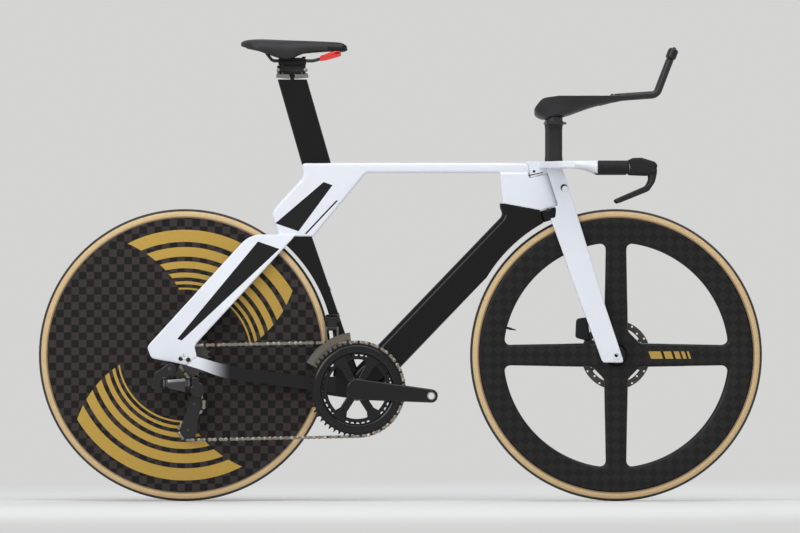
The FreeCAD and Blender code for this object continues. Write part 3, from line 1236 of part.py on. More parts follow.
saddle_shell = Part.makeLoft([shell_section(*station) for station in SADDLE_STATIONS[1:]], True)
rails = []
for sign in (-1, 1):
    rails.append(pipe([
        V(head_x - 60, sign * RAIL_SPREAD, RAIL_Z + 18), V(head_x - 46, sign * RAIL_SPREAD, RAIL_Z),
        V(head_x + 48, sign * RAIL_SPREAD, RAIL_Z), V(head_x + 98, sign * 9, RAIL_Z + 13),
    ], RAIL_R, 12))
rail_pair = Part.makeCompound(rails)
saddle_shell = saddle_shell.cut(rail_pair).cut(nodes["saddle_cover"])
keep("saddle_shell", saddle_shell)
nose_bridge = soft_slab([
    from_post(63, 42, 3), from_post(78, 44, 6), from_post(100, 50, 6), from_post(113, 54, 3),
    from_post(113, 64, 2), from_post(98, 67, 4), from_post(84, 60, 6), from_post(64, 54, 4),
], -15, 15, 2).cut(rail_pair).cut(saddle_shell)
keep("saddle_nose_bridge", nose_bridge)
keep("saddle_rails", *rails)

# Rear derailleur: hanger, knuckle, two parallel links, lower knuckle, cage and pulleys.
shift_y = -drop_outer - 15
knuckle_outer = shift_y - 11
LINK_LOW = REAR_HUB.z - 72
LINK_HIGH = REAR_HUB.z - 56
pivot_x = REAR_HUB.x - 46
lower_x = pivot_x + SHIFT_LINK
hanger_bolt = across(hanger_eye, 5, knuckle_outer, -drop_inner)
keep("derailleur_hanger", hanger.cut(axle_hole).cut(hanger_bolt))


def upright(x, y, radius, z_low, z_high):
    return rod(V(x, y, z_low), V(x, y, z_high), radius)


link_ys = (shift_y - LINK_SPREAD / 2, shift_y + LINK_SPREAD / 2)
EAR_R = 5.5
EAR = 4.0


def clevis(x):
    """Two ears with upright pins, above and below the links."""
    pieces = []
    for low, high in ((LINK_LOW - EAR - RUN_GAP, LINK_LOW - RUN_GAP), (LINK_HIGH + RUN_GAP,
        LINK_HIGH + RUN_GAP + EAR)):
        plate = Part.makeBox(2 * EAR_R, LINK_SPREAD, high - low, V(x - EAR_R, shift_y - LINK_SPREAD / 2, low))
        pieces.append(plate)
        for y in link_ys:
            pieces.append(upright(x, y, EAR_R, low, high))
    for y in link_ys:
        pieces.append(upright(x, y, 2.2, LINK_LOW - EAR - RUN_GAP, LINK_HIGH + EAR + RUN_GAP))
    return pieces


knuckle_top = capsule(hanger_eye, V(pivot_x - 4, 0, LINK_HIGH + 12), 13, knuckle_outer, hanger_face)
knuckle_back = soft_slab([
    (pivot_x - 32, LINK_LOW - 6, 6), (pivot_x - 7, LINK_LOW - 6, 3), (pivot_x - 7, LINK_HIGH + 22, 3),
    (pivot_x - 22, LINK_HIGH + 18, 8),
], knuckle_outer, hanger_face - 2, 2.5)
knuckle = knuckle_top.fuse([knuckle_back] + clevis(pivot_x))
link_sweep = Part.makeBox(90, 60, LINK_HIGH - LINK_LOW + 2 * RUN_GAP,
                          V(pivot_x - EAR_R - 0.6, shift_y - 30, LINK_LOW - RUN_GAP))
pins = [upright(pivot_x, y, 2.2, LINK_LOW - EAR, LINK_HIGH + EAR) for y in link_ys]
knuckle = knuckle.cut(link_sweep).fuse(pins + [hanger_bolt]).removeSplitter()
keep("rd_knuckle", knuckle)


def shift_link(y):
    body = Part.makeBox(SHIFT_LINK, LINK_WIDTH, LINK_HIGH - LINK_LOW, V(pivot_x, y - LINK_WIDTH / 2,
        LINK_LOW))
    for x in (pivot_x, lower_x):
        body = body.fuse(upright(x, y, EAR_R - 0.8, LINK_LOW, LINK_HIGH))
    for x in (pivot_x, lower_x):
        body = body.cut(upright(x, y, 2.2 + HINGE_GAP, LINK_LOW - 1, LINK_HIGH + 1))
    return body.removeSplitter()


keep("rd_outer_link", shift_link(link_ys[0]))
keep("rd_inner_link", shift_link(link_ys[1]))

PIVOT_P = V(lower_x + 21, 0, REAR_HUB.z - 79.5)
cage_outer = FIRST_COG_Y - CAGE_GAP - CAGE_PLATE
lower_inner = cage_outer - RUN_GAP
lower_knuckle = across(PIVOT_P, 17, knuckle_outer + 2, lower_inner)
lower_knuckle = lower_knuckle.makeFillet(3, [edge for edge in lower_knuckle.Edges if edge.Closed])
arm_block = soft_slab([
    (lower_x + 7, LINK_LOW - 8, 4), (lower_x + 7, LINK_HIGH + 6, 4), (lower_x + 24, LINK_HIGH + 4, 6),
    (lower_x + 24, LINK_LOW - 8, 4),
], knuckle_outer + 2, shift_y + 11, 2.5)
lower_knuckle = lower_knuckle.fuse([arm_block] + clevis(lower_x))
back_sweep = Part.makeBox(90, 60, LINK_HIGH - LINK_LOW + 2 * RUN_GAP,
                          V(lower_x + EAR_R + 0.6 - 90, shift_y - 30, LINK_LOW - RUN_GAP))
pins = [upright(lower_x, y, 2.2, LINK_LOW - EAR, LINK_HIGH + EAR) for y in link_ys]
lower_knuckle = lower_knuckle.cut(back_sweep).fuse(pins)
CAGE_SPINDLE_R = 6.0
spindle_end = knuckle_outer + 8
lower_knuckle = lower_knuckle.cut(across(PIVOT_P, CAGE_SPINDLE_R + HINGE_GAP, spindle_end - 1,
    0)).removeSplitter()
keep("rd_lower_knuckle", lower_knuckle)

cage_inner = FIRST_COG_Y + CAGE_GAP
cage = capsule(PIVOT_P, GUIDE, 12, cage_outer, cage_outer + CAGE_PLATE)
cage = cage.fuse(capsule(GUIDE, TENSION, 12, cage_outer, cage_outer + CAGE_PLATE))
cage = cage.fuse(capsule(GUIDE, TENSION, 11, cage_inner, cage_inner + CAGE_PLATE))
for plate_y in (cage_outer, cage_inner):
    window = capsule(GUIDE * 0.66 + TENSION * 0.34, GUIDE * 0.34 + TENSION * 0.66, 5, plate_y - 1,
        plate_y + 3)
    cage = cage.cut(window)
for centre in (GUIDE, TENSION):
    cage = cage.fuse(across(centre, PULLEY_AXLE_R, cage_outer - 1.5, cage_inner + CAGE_PLATE + 1))
cage = cage.fuse(across(PIVOT_P, CAGE_SPINDLE_R, spindle_end, cage_outer + CAGE_PLATE)).removeSplitter()
keep("rd_cage", cage)


def pulley(centre, phase):
    body = toothed_disc(PULLEY_TEETH, centre, FIRST_COG_Y, TOOTH_THICK, phase)
    body = body.fuse(across(centre, 8, FIRST_COG_Y - CAGE_GAP + RUN_GAP, FIRST_COG_Y + CAGE_GAP - RUN_GAP))
    for window in range(5):
        body = body.cut(across(polar(centre, 12.8, window * 72), 2.6, FIRST_COG_Y - 3, FIRST_COG_Y + 3))
    return body.cut(across(centre, PULLEY_AXLE_R + SHAFT_GAP, -WIDE, 0)).removeSplitter()


keep("guide_pulley", pulley(GUIDE, guide_phase))
keep("tension_pulley", pulley(TENSION, tension_phase))

# Front derailleur: a body on the seat tube, a swinging link and a cage over the big ring.
FD_X = BOTTOM_BRACKET.x - 58
FD_TOP = BOTTOM_BRACKET.z + 163.5
FD_LINK = 24.0
FD_Y = BIG_RING_Y + 3
FD_WIDTH = 22.0
tip_r = pitch_radius(BIG_RING_TEETH) + TOOTH_HEIGHT
cage_low_r = tip_r + 3.2
cage_high_r = cage_low_r + 14
fd_plate_out = BIG_RING_Y - 6.2
fd_plate_in = BIG_RING_Y + 5.4


def along_bike(x_low, x_high, y, z, radius):
    return rod(V(x_low, y, z), V(x_high, y, z), radius)


fd_low = FD_X - FD_WIDTH / 2
fd_high = FD_X + FD_WIDTH / 2
fd_ear = 4.5
fd_body = soft_slab([
    (fd_low - fd_ear, FD_TOP - 10, 4), (fd_low - fd_ear, FD_TOP + 9, 5), (fd_high + fd_ear, FD_TOP + 9, 5),
    (fd_high + fd_ear, FD_TOP - 10, 4),
], FD_Y - 6, -FRAME_HALF, 2)
swing_room = Part.makeBox(FD_WIDTH + 2 * RUN_GAP, 60, 60, V(fd_low - RUN_GAP, FD_Y - 52, FD_TOP - 52))
swing_top = along_bike(fd_low - RUN_GAP, fd_high + RUN_GAP, FD_Y, FD_TOP, 8)
fd_body = fd_body.cut(swing_room).cut(swing_top)
fd_body = fd_body.fuse(along_bike(fd_low - 3, fd_high + 3, FD_Y, FD_TOP,
    2.2)).cut(nodes["seat_tube"]).removeSplitter()
keep("fd_body", fd_body)
fd_low_z = FD_TOP - FD_LINK
fd_link = Part.makeBox(FD_WIDTH, 6, FD_LINK, V(fd_low, FD_Y - 3, fd_low_z))
for z in (FD_TOP, fd_low_z):
    fd_link = fd_link.fuse(along_bike(fd_low, fd_high, FD_Y, z, 4.5))
for z in (FD_TOP, fd_low_z):
    fd_link = fd_link.cut(along_bike(fd_low - 5, fd_high + 5, FD_Y, z, 2.2 + HINGE_GAP))
keep("fd_link", fd_link.removeSplitter())


def cage_arc(y_low, y_high, low_r, high_r, start, end):
    """Curved plate about the bottom bracket, between two angles in degrees."""
    middle_angle = (start + end) / 2
    rim = [polar(BOTTOM_BRACKET, high_r, angle, y_low) for angle in (start, middle_angle, end)]
    root = [polar(BOTTOM_BRACKET, low_r, angle, y_low) for angle in (end, middle_angle, start)]
    edges = [
        Part.Arc(*rim).toShape(), Part.LineSegment(rim[2], root[0]).toShape(),
        Part.Arc(*root).toShape(), Part.LineSegment(root[2], rim[0]).toShape(),
    ]
    return Part.Face(Part.Wire(edges)).extrude(V(0, y_high - y_low, 0))


fd_cage = cage_arc(fd_plate_out, fd_plate_out + 1, cage_low_r, cage_high_r, 97, 152)
fd_cage = fd_cage.fuse([
    cage_arc(fd_plate_in, fd_plate_in + 1, cage_low_r - 10, cage_high_r + 2, 97, 152),
    cage_arc(fd_plate_out, fd_plate_in + 1, cage_high_r - 1, cage_high_r, 98, 112),
    cage_arc(fd_plate_out, fd_plate_in + 1, cage_low_r + 1, cage_high_r, 149, 152),
])
for x_low, x_high in ((fd_low - fd_ear, fd_low - RUN_GAP), (fd_high + RUN_GAP, fd_high + fd_ear)):
    ear = slab([
        (x_low, fd_low_z + 5, 0), (x_high, fd_low_z + 5, 0), (x_high, fd_low_z - 6, 0), (x_low,
            fd_low_z - 6, 0),
    ], FD_Y - 4, fd_plate_in + 1)
    tab = slab([
        (x_low, fd_low_z, 0), (x_high, fd_low_z, 0), (x_high, fd_low_z - 38, 0), (x_low, fd_low_z - 38, 0),
    ], fd_plate_in - 1, fd_plate_in + 1)
    fd_cage = fd_cage.fuse([ear, tab])
fd_cage = fd_cage.fuse(along_bike(fd_low - 3, fd_high + 3, FD_Y, fd_low_z, 2.2)).removeSplitter()
keep("fd_cage", fd_cage)

os.makedirs("parts", exist_ok=True)
for name, shape in nodes.items():
    shape.exportStep(f"parts/{name}.step")
    print(name, len(shape.Solids), round(shape.Volume), shape.isValid())
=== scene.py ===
import math
import bmesh
import bpy
from mathutils import Matrix, Vector


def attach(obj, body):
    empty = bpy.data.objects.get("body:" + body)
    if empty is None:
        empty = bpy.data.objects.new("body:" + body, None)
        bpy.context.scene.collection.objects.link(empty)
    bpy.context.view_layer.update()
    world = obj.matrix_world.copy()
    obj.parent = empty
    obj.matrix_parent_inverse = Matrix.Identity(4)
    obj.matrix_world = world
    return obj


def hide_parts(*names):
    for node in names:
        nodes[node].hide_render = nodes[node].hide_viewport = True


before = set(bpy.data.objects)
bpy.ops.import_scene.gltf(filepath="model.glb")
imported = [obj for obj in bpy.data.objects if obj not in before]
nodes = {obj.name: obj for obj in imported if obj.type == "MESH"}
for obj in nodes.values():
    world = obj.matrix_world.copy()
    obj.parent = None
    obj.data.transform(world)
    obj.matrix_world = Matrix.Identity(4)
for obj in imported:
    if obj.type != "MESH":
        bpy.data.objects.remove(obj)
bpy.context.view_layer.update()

# The photo studio: a pale floor that fades into a pale surround, and a long lens level with the frame.
# Three soft boxes and an even sky light the bike from above, from the side it is seen from and from behind.
bpy.ops.object.select_all(action="DESELECT")
scene = bpy.context.scene
scene.view_settings.view_transform = "Standard"
SURROUND = (0.66, 0.66, 0.655, 1.0)
CAMERA_AT = Vector((-0.001, -30.0, 0.543))
VIEW_WIDTH = 1.852
SENSOR_WIDTH = 36.0
bpy.ops.object.camera_add(location=CAMERA_AT, rotation=(math.pi / 2, 0, 0))
camera = bpy.context.object
camera.data.sensor_width = SENSOR_WIDTH
camera.data.lens = SENSOR_WIDTH * -CAMERA_AT.y / VIEW_WIDTH
camera.data.clip_end = 150
scene.camera = camera


class Wire:
    """One output of a node, so that shader maths is written as sums."""

    def __init__(self, tree, socket):
        self.tree = tree
        self.socket = socket

    def node(self, kind, settings, inputs, output=0):
        """Adds a node, makes its settings, feeds its sockets and gives one of its outputs."""
        made = self.tree.nodes.new(kind)
        for name, value in settings.items():
            setattr(made, name, value)
        for name, value in inputs.items():
            if isinstance(value, Wire):
                self.tree.links.new(value.socket, made.inputs[name])
            else:
                made.inputs[name].default_value = value
        return Wire(self.tree, made.outputs[output]) if made.outputs else None

    def math(self, operation, *values):
        """A Math node on any of its operations."""
        return self.node("ShaderNodeMath", {"operation": operation}, dict(enumerate(values)))

    def __add__(self, other):
        return self.math("ADD", self, other)

    __radd__ = __add__

    def __sub__(self, other):
        return self.math("SUBTRACT", self, other)

    def __rsub__(self, other):
        return self.math("SUBTRACT", other, self)

    def __mul__(self, other):
        return self.math("MULTIPLY", self, other)

    __rmul__ = __mul__

    def __truediv__(self, other):
        return self.math("DIVIDE", self, other)

    def __rtruediv__(self, other):
        return self.math("DIVIDE", other, self)

    def __gt__(self, other):
        return self.math("GREATER_THAN", self, other)

    def __lt__(self, other):
        return self.math("LESS_THAN", self, other)

    def part(self, letter):
        """One component of a vector."""
        return self.node("ShaderNodeSeparateXYZ", {}, {0: self}, letter)

    def step(self, low, high):
        """0 below low, 1 above high and a smooth change between."""
        return self.node("ShaderNodeMapRange", {"interpolation_type": "SMOOTHSTEP"}, {0: self, 1: low, 2: high})

    def mix(self, first, second):
        """first where this is 0 and second where it is 1, for colours."""
        return self.node("ShaderNodeMix", {"data_type": "RGBA"}, {0: self, 6: first, 7: second}, 2)

    def noise(self, scale, detail=2.0):
        """Soft noise between 0 and 1."""
        return self.node("ShaderNodeTexNoise", {}, {"Vector": self, "Scale": scale, "Detail": detail})

    def stretch(self, x, y, z):
        """This vector with each component multiplied."""
        return self.node("ShaderNodeVectorMath", {"operation": "MULTIPLY"}, {0: self, 1: (x, y, z)})


FLOOR_RADIUS = 80.0
FLOOR_FADE = (1.2, 3.2)
floor_finish = bpy.data.materials.new("studio_floor")
floor_finish.use_nodes = True
floor_tree = floor_finish.node_tree
floor_tree.nodes.clear()
floor_place = Wire(floor_tree, floor_tree.nodes.new("ShaderNodeTexCoord").outputs["Object"])
away = floor_place.node("ShaderNodeVectorMath", {"operation": "LENGTH"}, {0: floor_place}, "Value").step(*FLOOR_FADE)
plain = floor_place.node("ShaderNodeBsdfDiffuse", {}, {"Color": SURROUND})
glow = floor_place.node("ShaderNodeEmission", {}, {"Color": SURROUND})
floor_place.node("ShaderNodeOutputMaterial", {}, {
    0: floor_place.node("ShaderNodeMixShader", {}, {0: away, 1: plain, 2: glow})
})
bpy.ops.mesh.primitive_circle_add(vertices=64, radius=FLOOR_RADIUS, fill_type="NGON", location=(0, 0, 0))
floor = bpy.context.object
floor.name = "studio_floor"
floor.data.materials.append(floor_finish)

SKY_FOOT = (0.22, 0.22, 0.225, 1.0)
SKY_TOP = (0.66, 0.67, 0.69, 1.0)
BACKDROP_TOP = (0.42, 0.42, 0.43, 1.0)
world = bpy.data.worlds.new("studio_sky")
scene.world = world
world.use_nodes = True
sky_tree = world.node_tree
sky_tree.nodes.clear()
rays = sky_tree.nodes.new("ShaderNodeLightPath")
seen = Wire(sky_tree, rays.outputs["Is Camera Ray"])
for ray in ("Is Glossy Ray", "Is Transmission Ray"):
    seen = seen.math("MAXIMUM", seen, Wire(sky_tree, rays.outputs[ray]))
height = Wire(sky_tree, sky_tree.nodes.new("ShaderNodeTexCoord").outputs["Generated"]).part("Z")
sky = height.step(-0.2, 0.9).mix(SKY_FOOT, SKY_TOP)
backdrop = height.step(0.15, 0.8).mix(SURROUND, BACKDROP_TOP)
seen.node("ShaderNodeOutputWorld", {}, {
    0: seen.node("ShaderNodeBackground", {}, {0: seen.mix(sky, backdrop)})
})
LAMP_AIM = Vector((0, 0, 0.5))
for lamp_name, lamp_at, lamp_size, lamp_power in (
    ("overhead_box", (0.0, -1.2, 3.4), 3.6, 78.0),
    ("side_box", (-2.6, -4.2, 2.2), 2.4, 70.0),
    ("back_box", (1.6, 3.6, 2.6), 2.4, 50.0),
):
    aim = LAMP_AIM - Vector(lamp_at)
    bpy.ops.object.light_add(type="AREA", location=lamp_at, rotation=aim.to_track_quat("-Z", "Y").to_euler())
    lamp = bpy.context.object
    lamp.name = lamp_name
    lamp.data.size = lamp_size
    lamp.data.energy = lamp_power


# The frame's upper half: top tube, seat cluster, head tube and seat stays, moulded in carbon and bonded together.
# The joints are filled and sanded, so one skin runs over all four, painted white under clear lacquer.
# A black flash widens up the stays and narrows again on the seat cluster, with a fine line below it.
def new_finish(name, **surface):
    """A material with its surface shader set, the wire of its object coordinates and a feed for sockets."""
    finish = bpy.data.materials.new(name)
    finish.use_nodes = True
    tree = finish.node_tree
    shader = tree.nodes["Principled BSDF"]
    for socket, value in surface.items():
        shader.inputs[socket.replace("_", " ")].default_value = value
    place = Wire(tree, tree.nodes.new("ShaderNodeTexCoord").outputs["Object"])

    def feed(socket, wire):
        tree.links.new(wire.socket, shader.inputs[socket])

    return finish, place, feed


def bump(height, depth, strength=1.0):
    """The normal of a surface raised by depth metres where height is 1."""
    return height.node("ShaderNodeBump", {}, {"Strength": strength, "Distance": depth, "Height": height})


def merged_copy(name, source, top=None):
    """A closed copy of a CAD node, cut off flat at a height if one is given."""
    bpy.ops.object.select_all(action="DESELECT")
    copy = bpy.data.objects.new(name, nodes[source].data.copy())
    scene.collection.objects.link(copy)
    copy.select_set(True)
    bpy.context.view_layer.objects.active = copy
    bpy.ops.object.mode_set(mode="EDIT")
    bpy.ops.mesh.select_all(action="SELECT")
    bpy.ops.mesh.remove_doubles(threshold=0.00001)
    if top:
        bpy.ops.mesh.bisect(plane_co=(0, 0, top), plane_no=(0, 0, 1), use_fill=True, clear_outer=True)
    bpy.ops.object.mode_set(mode="OBJECT")
    return copy


def gather(name, pieces):
    """Joins like pieces into one."""
    bpy.ops.object.select_all(action="DESELECT")
    for piece in pieces:
        piece.select_set(True)
    bpy.context.view_layer.objects.active = pieces[0]
    if len(pieces) > 1:
        bpy.ops.object.join()
    joined = bpy.context.view_layer.objects.active
    joined.name = name
    return joined


def moulded(name, copies, voxel, rounds, keep=1.0):
    """One smooth skin over copies of CAD nodes, where they are, with a share of its faces kept."""
    piece = gather(name, copies)
    skin = piece.modifiers.new("skin", "REMESH")
    skin.mode = "VOXEL"
    skin.voxel_size = voxel
    bpy.ops.object.modifier_apply(modifier="skin")
    soft = piece.modifiers.new("soft", "SMOOTH")
    soft.factor = 0.5
    soft.iterations = rounds
    bpy.ops.object.modifier_apply(modifier="soft")
    if keep < 1:
        thin = piece.modifiers.new("thin", "DECIMATE")
        thin.ratio = keep
        bpy.ops.object.modifier_apply(modifier="thin")
    bpy.ops.object.shade_smooth()
    piece.data.materials.clear()
    return piece


def fit(piece, body, finish, slot, *stands_for):
    """Dresses a new piece, sets it on its body and hides the CAD nodes it stands for."""
    piece.data.materials.append(finish)
    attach(piece, body)
    if stands_for:
        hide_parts(*stands_for)


def white_coat(name):
    """White paint under lacquer, with the wires that a mark on it needs."""
    finish, place, feed = new_finish(name, Coat_Weight=0.6, Coat_Roughness=0.05, Coat_IOR=1.33,
                                     Specular_IOR_Level=0.12)
    feed("Roughness", 0.26 + 0.1 * place.noise(60, 4))
    feed("Normal", bump(place.noise(420, 2), 0.00006, 0.3))
    return finish, place, feed, place.noise(14, 3).mix((0.735, 0.76, 0.825, 1), (0.785, 0.81, 0.865, 1))


FLASH_FOOT = (-0.4293, 0.454)
FLASH_WAY = (0.686, 0.728)
FLASH_RAKE = 0.45
# Each mark: where it starts and its half width there, where it ends and its half width there, and how far aside.
FLASHES = (
    (-0.112, 0.005, 0.188, 0.024, 0.004),
    (0.246, 0.026, 0.385, 0.010, 0.002),
    (-0.070, 0.0018, 0.188, 0.0018, -0.034),
    (0.246, 0.0018, 0.352, 0.0018, -0.040),
)
FLASH_BLACK = (0.008, 0.008, 0.009, 1)
STAY_TOP = 0.617
frame_paint, place, feed, white = white_coat("frame_paint")
across = place.part("X") - FLASH_FOOT[0]
up = place.part("Z") - FLASH_FOOT[1]
run = across * FLASH_WAY[0] + up * FLASH_WAY[1]
aside = up * FLASH_WAY[0] - across * FLASH_WAY[1]
lean = run + aside * FLASH_RAKE
flash = 0.0
for start, start_half, end, end_half, offset in FLASHES:
    half = (lean - start) * ((end_half - start_half) / (end - start)) + start_half
    flash = (lean > start) * (lean < end) * (aside.math("ABSOLUTE", aside - offset) < half) + flash
feed("Base Color", flash.mix(white, FLASH_BLACK))
frame_copies = [merged_copy("frame_copy", node) for node in ("top_tube", "seat_cluster", "head_tube")]
frame_copies.append(merged_copy("stay_copy", "seat_stays", STAY_TOP))
frame_skin = moulded("frame_skin", frame_copies, 0.0018, 8, 0.5)
fit(frame_skin, "frame", frame_paint, "paint_white", "top_tube", "seat_cluster", "head_tube", "seat_stays")


# The frame's lower half: down tube, seat tube, seatpost and hanger, moulded in carbon and sprayed gloss black.
# The chain stays are sprayed twice, so they fade from the white of the dropouts to black.
def dress(finish, *names):
    """Gives carried-over nodes their finish."""
    for name in names:
        nodes[name].data.materials.clear()
        nodes[name].data.materials.append(finish)


black_paint, place, feed = new_finish("black_paint", Coat_Weight=1.0, Coat_Roughness=0.02, Coat_IOR=1.27,
                                      Specular_IOR_Level=0.05)
feed("Base Color", place.noise(30, 3).mix((0.003, 0.003, 0.0035, 1), (0.006, 0.006, 0.007, 1)))
feed("Roughness", 0.4 + 0.12 * place.noise(50, 4))
feed("Normal", bump(place.noise(380, 2), 0.00005, 0.25))
dress(black_paint, "down_tube", "seat_tube", "seatpost", "derailleur_hanger", "seatpost_wedge")

FADE_SPAN = (-0.470, -0.392)
FADE_WHITE = (0.76, 0.785, 0.85, 1.0)
FADE_BLACK = (0.008, 0.008, 0.009, 1.0)
stay_paint, place, feed = new_finish("stay_fade", Coat_Weight=0.9, Coat_Roughness=0.03, Coat_IOR=1.3,
                                     Specular_IOR_Level=0.08)
feed("Base Color", place.part("X").step(*FADE_SPAN).mix(FADE_WHITE, FADE_BLACK))
feed("Roughness", 0.3 + 0.1 * place.noise(50, 4))
feed("Normal", bump(place.noise(400, 2), 0.00005, 0.25))
dress(stay_paint, "chain_stays")


# Machined fittings: bearings, rotors, rails, calipers, hubs, bosses and bolts in steel or black anodised alloy.
# Turned and milled faces keep fine tool lines, which stretch along the part.
def metal_finish(name, dark, light, rough, grain, metal=1.0):
    """Metal with streaks of two tones; grain stretches them along each axis."""
    finish, place, feed = new_finish(name, Metallic=metal)
    streaks = place.stretch(*grain).noise(1.0, 4)
    feed("Base Color", streaks.mix(dark, light))
    feed("Roughness", rough + 0.16 * place.noise(240, 3))
    feed("Normal", bump(streaks, 0.00005, 0.5))
    return finish


steel = metal_finish("bright_steel", (0.2, 0.19, 0.18, 1), (0.4, 0.38, 0.36, 1), 0.24, (700, 90, 700))
rotor_steel = metal_finish("rotor_steel", (0.055, 0.052, 0.05, 1), (0.12, 0.115, 0.11, 1), 0.3, (900, 90, 900))
dark_steel = metal_finish("dark_steel", (0.03, 0.03, 0.031, 1), (0.09, 0.088, 0.085, 1), 0.26, (90, 500, 500))
black_alloy = metal_finish("black_alloy", (0.008, 0.008, 0.009, 1), (0.022, 0.022, 0.024, 1), 0.3,
                           (300, 300, 900), 0.6)
dress(steel, "frame_bearings", "steering_rod")
dress(rotor_steel, "front_rotor", "rear_rotor")
dress(dark_steel, "saddle_rails")
dress(black_alloy, "bottle_bosses", "rear_brake_caliper", "front_brake_caliper", "front_hub", "rear_hub",
      "chainring_bolts", "valve_stem")

# Thru-axles: turned alloy rods that screw through dropout and hub, painted with the frame at their ends.
# The bore of the key socket stays black, at both ends of the front axle and at the left end of the rear one.
HUB_HEIGHT = 0.338
WHEEL_X = 0.499
AXLE_SOCKET = 0.0047
SOCKET_BLACK = (0.01, 0.01, 0.011, 1)


def wheel_polar(place, hub_x):
    """Radius from the wheel's axle and the angle round it, in turns."""
    across = place.part("X") - hub_x
    up = place.part("Z") - HUB_HEIGHT
    radius = across.math("SQRT", across * across + up * up)
    return radius, across.math("ARCTAN2", up, across) / (2 * math.pi)


for axle, hub_x in (("front_thru_axle", WHEEL_X), ("rear_thru_axle", -WHEEL_X)):
    axle_finish, place, feed, white = white_coat(axle + "_cap")
    ring = wheel_polar(place, hub_x)[0] > AXLE_SOCKET
    if hub_x < 0:
        ring = ring.math("MAXIMUM", ring, place.part("Y") < 0)
    feed("Base Color", ring.mix(SOCKET_BLACK, white))
    dress(axle_finish, axle)

# Dropout screws: two black ones hold the hanger from outside the right dropout, set on the painted face.
# Two steel ones hold the rear caliper on the left chain stay.
HANGER_SCREWS = ((-0.5072, 0.3305), (-0.4898, 0.3275))
HANGER_SCREW_R = 0.0052
CALIPER_SCREWS = ((-0.4470, 0.3490), (-0.4110, 0.3270))
CALIPER_FACE = 0.0682
EDGE_ANGLE = 0.6


def pick_faces(piece, wanted):
    """Goes into edit mode with only the wanted faces selected."""
    bpy.ops.object.mode_set(mode="EDIT")
    bpy.ops.mesh.select_mode(type="FACE")
    bpy.ops.mesh.select_all(action="DESELECT")
    shape = bmesh.from_edit_mesh(piece.data)
    for face in shape.faces:
        face.select = wanted(face)
    bmesh.update_edit_mesh(piece.data)


def screw_head(centre, radius, tall, socket, deep, way=(0, -1, 0), sides=24):
    """A round head with a chamfered rim and a sunk socket, facing one way."""
    bpy.ops.object.select_all(action="DESELECT")
    bpy.ops.mesh.primitive_cylinder_add(vertices=sides, radius=radius, depth=tall, location=(0, 0, 0))
    head = bpy.context.object
    pick_faces(head, lambda face: face.normal.z > 0.9)
    bpy.ops.mesh.inset(thickness=radius * 0.14)
    bpy.ops.transform.translate(value=(0, 0, tall * 0.22))
    bpy.ops.mesh.inset(thickness=radius * 0.86 - socket)
    bpy.ops.mesh.extrude_region_move(TRANSFORM_OT_translate={"value": (0, 0, -deep)})
    bpy.ops.object.mode_set(mode="OBJECT")
    bpy.ops.object.shade_smooth_by_angle(angle=EDGE_ANGLE)
    turn = Vector((0, 0, 1)).rotation_difference(Vector(way)).to_matrix().to_4x4()
    head.data.transform(Matrix.Translation(centre) @ turn)
    return head


def on_skin(piece, spot, side=-1):
    """The point of a skin at one X and Z, on the right side or the left."""
    found, point, _, _ = piece.ray_cast(Vector((spot[0], side, spot[1])), Vector((0, -side, 0)))
    return Vector((spot[0], point.y if found else 0.0, spot[1]))


hanger_screws = [
    screw_head(on_skin(frame_skin, spot), HANGER_SCREW_R, tall=0.0028, socket=HANGER_SCREW_R * 0.55, deep=0.0018)
    for spot in HANGER_SCREWS
]
fit(gather("hanger_screws", hanger_screws), "frame", black_alloy, "black_alloy")
caliper_screws = [
    screw_head(Vector((x, CALIPER_FACE, z)), 0.0045, tall=0.003, socket=0.0022, deep=0.002, way=(0, 1, 0), sides=16)
    for x, z in CALIPER_SCREWS
]
fit(gather("rear_caliper_screws", caliper_screws), "frame", steel, "steel")

# Tyres: a tan cotton casing, woven from fine threads on the bias and glued to the rim.
# A strip of dark rubber is rolled on as the tread, and the edge beside the rim is stained by glue.
TREAD_FROM = 0.3324
TREAD_EDGE = 0.0003
RIM_STAIN = (0.3195, 0.3225)
THREADS_ROUND = 1400
THREADS_PER_METRE = 1500
for tyre, hub_x in (("front_tyre", WHEEL_X), ("rear_tyre", -WHEEL_X)):
    finish, place, feed = new_finish(tyre + "_rubber")
    radius, turn = wheel_polar(place, hub_x)
    left_bias = (turn * THREADS_ROUND + radius * THREADS_PER_METRE) * (2 * math.pi)
    right_bias = (turn * THREADS_ROUND - radius * THREADS_PER_METRE) * (2 * math.pi)
    thread = (radius.math("SINE", left_bias) + radius.math("SINE", right_bias)) * 0.25 + 0.5
    tan = (0.35 * thread + 0.65 * place.noise(180, 4)).mix((0.5, 0.35, 0.17, 1), (0.72, 0.53, 0.285, 1))
    rubber = place.noise(500, 3).mix((0.016, 0.016, 0.017, 1), (0.034, 0.033, 0.032, 1))
    casing = radius.step(*RIM_STAIN).mix((0.24, 0.16, 0.09, 1), tan)
    feed("Base Color", radius.step(TREAD_FROM - TREAD_EDGE, TREAD_FROM + TREAD_EDGE).mix(casing, rubber))
    feed("Roughness", 0.62 + 0.2 * place.noise(300, 3))
    feed("Normal", bump(thread, 0.0001, 0.3))
    dress(finish, tyre)

# Front wheel: one carbon moulding, rim and four blades, in satin lacquer over wide woven tows on the diagonal.
# A row of gold foil bars, each narrower than the last, lies along the front blade.
TOW = 0.0175
DIAGONAL = 0.7071
GOLD_BARS = ((0.078, 0.028), (0.112, 0.018), (0.136, 0.012), (0.153, 0.008), (0.166, 0.005))
BAR_HALF = 0.0085
BAR_SLANT = 0.35


def checker(u, v):
    """The squares of a plain weave of wide tows, 0 and 1 by turns."""
    squares = u.math("FLOOR", u / TOW) + v.math("FLOOR", v / TOW)
    return squares.math("MODULO", squares + 1000, 2.0)


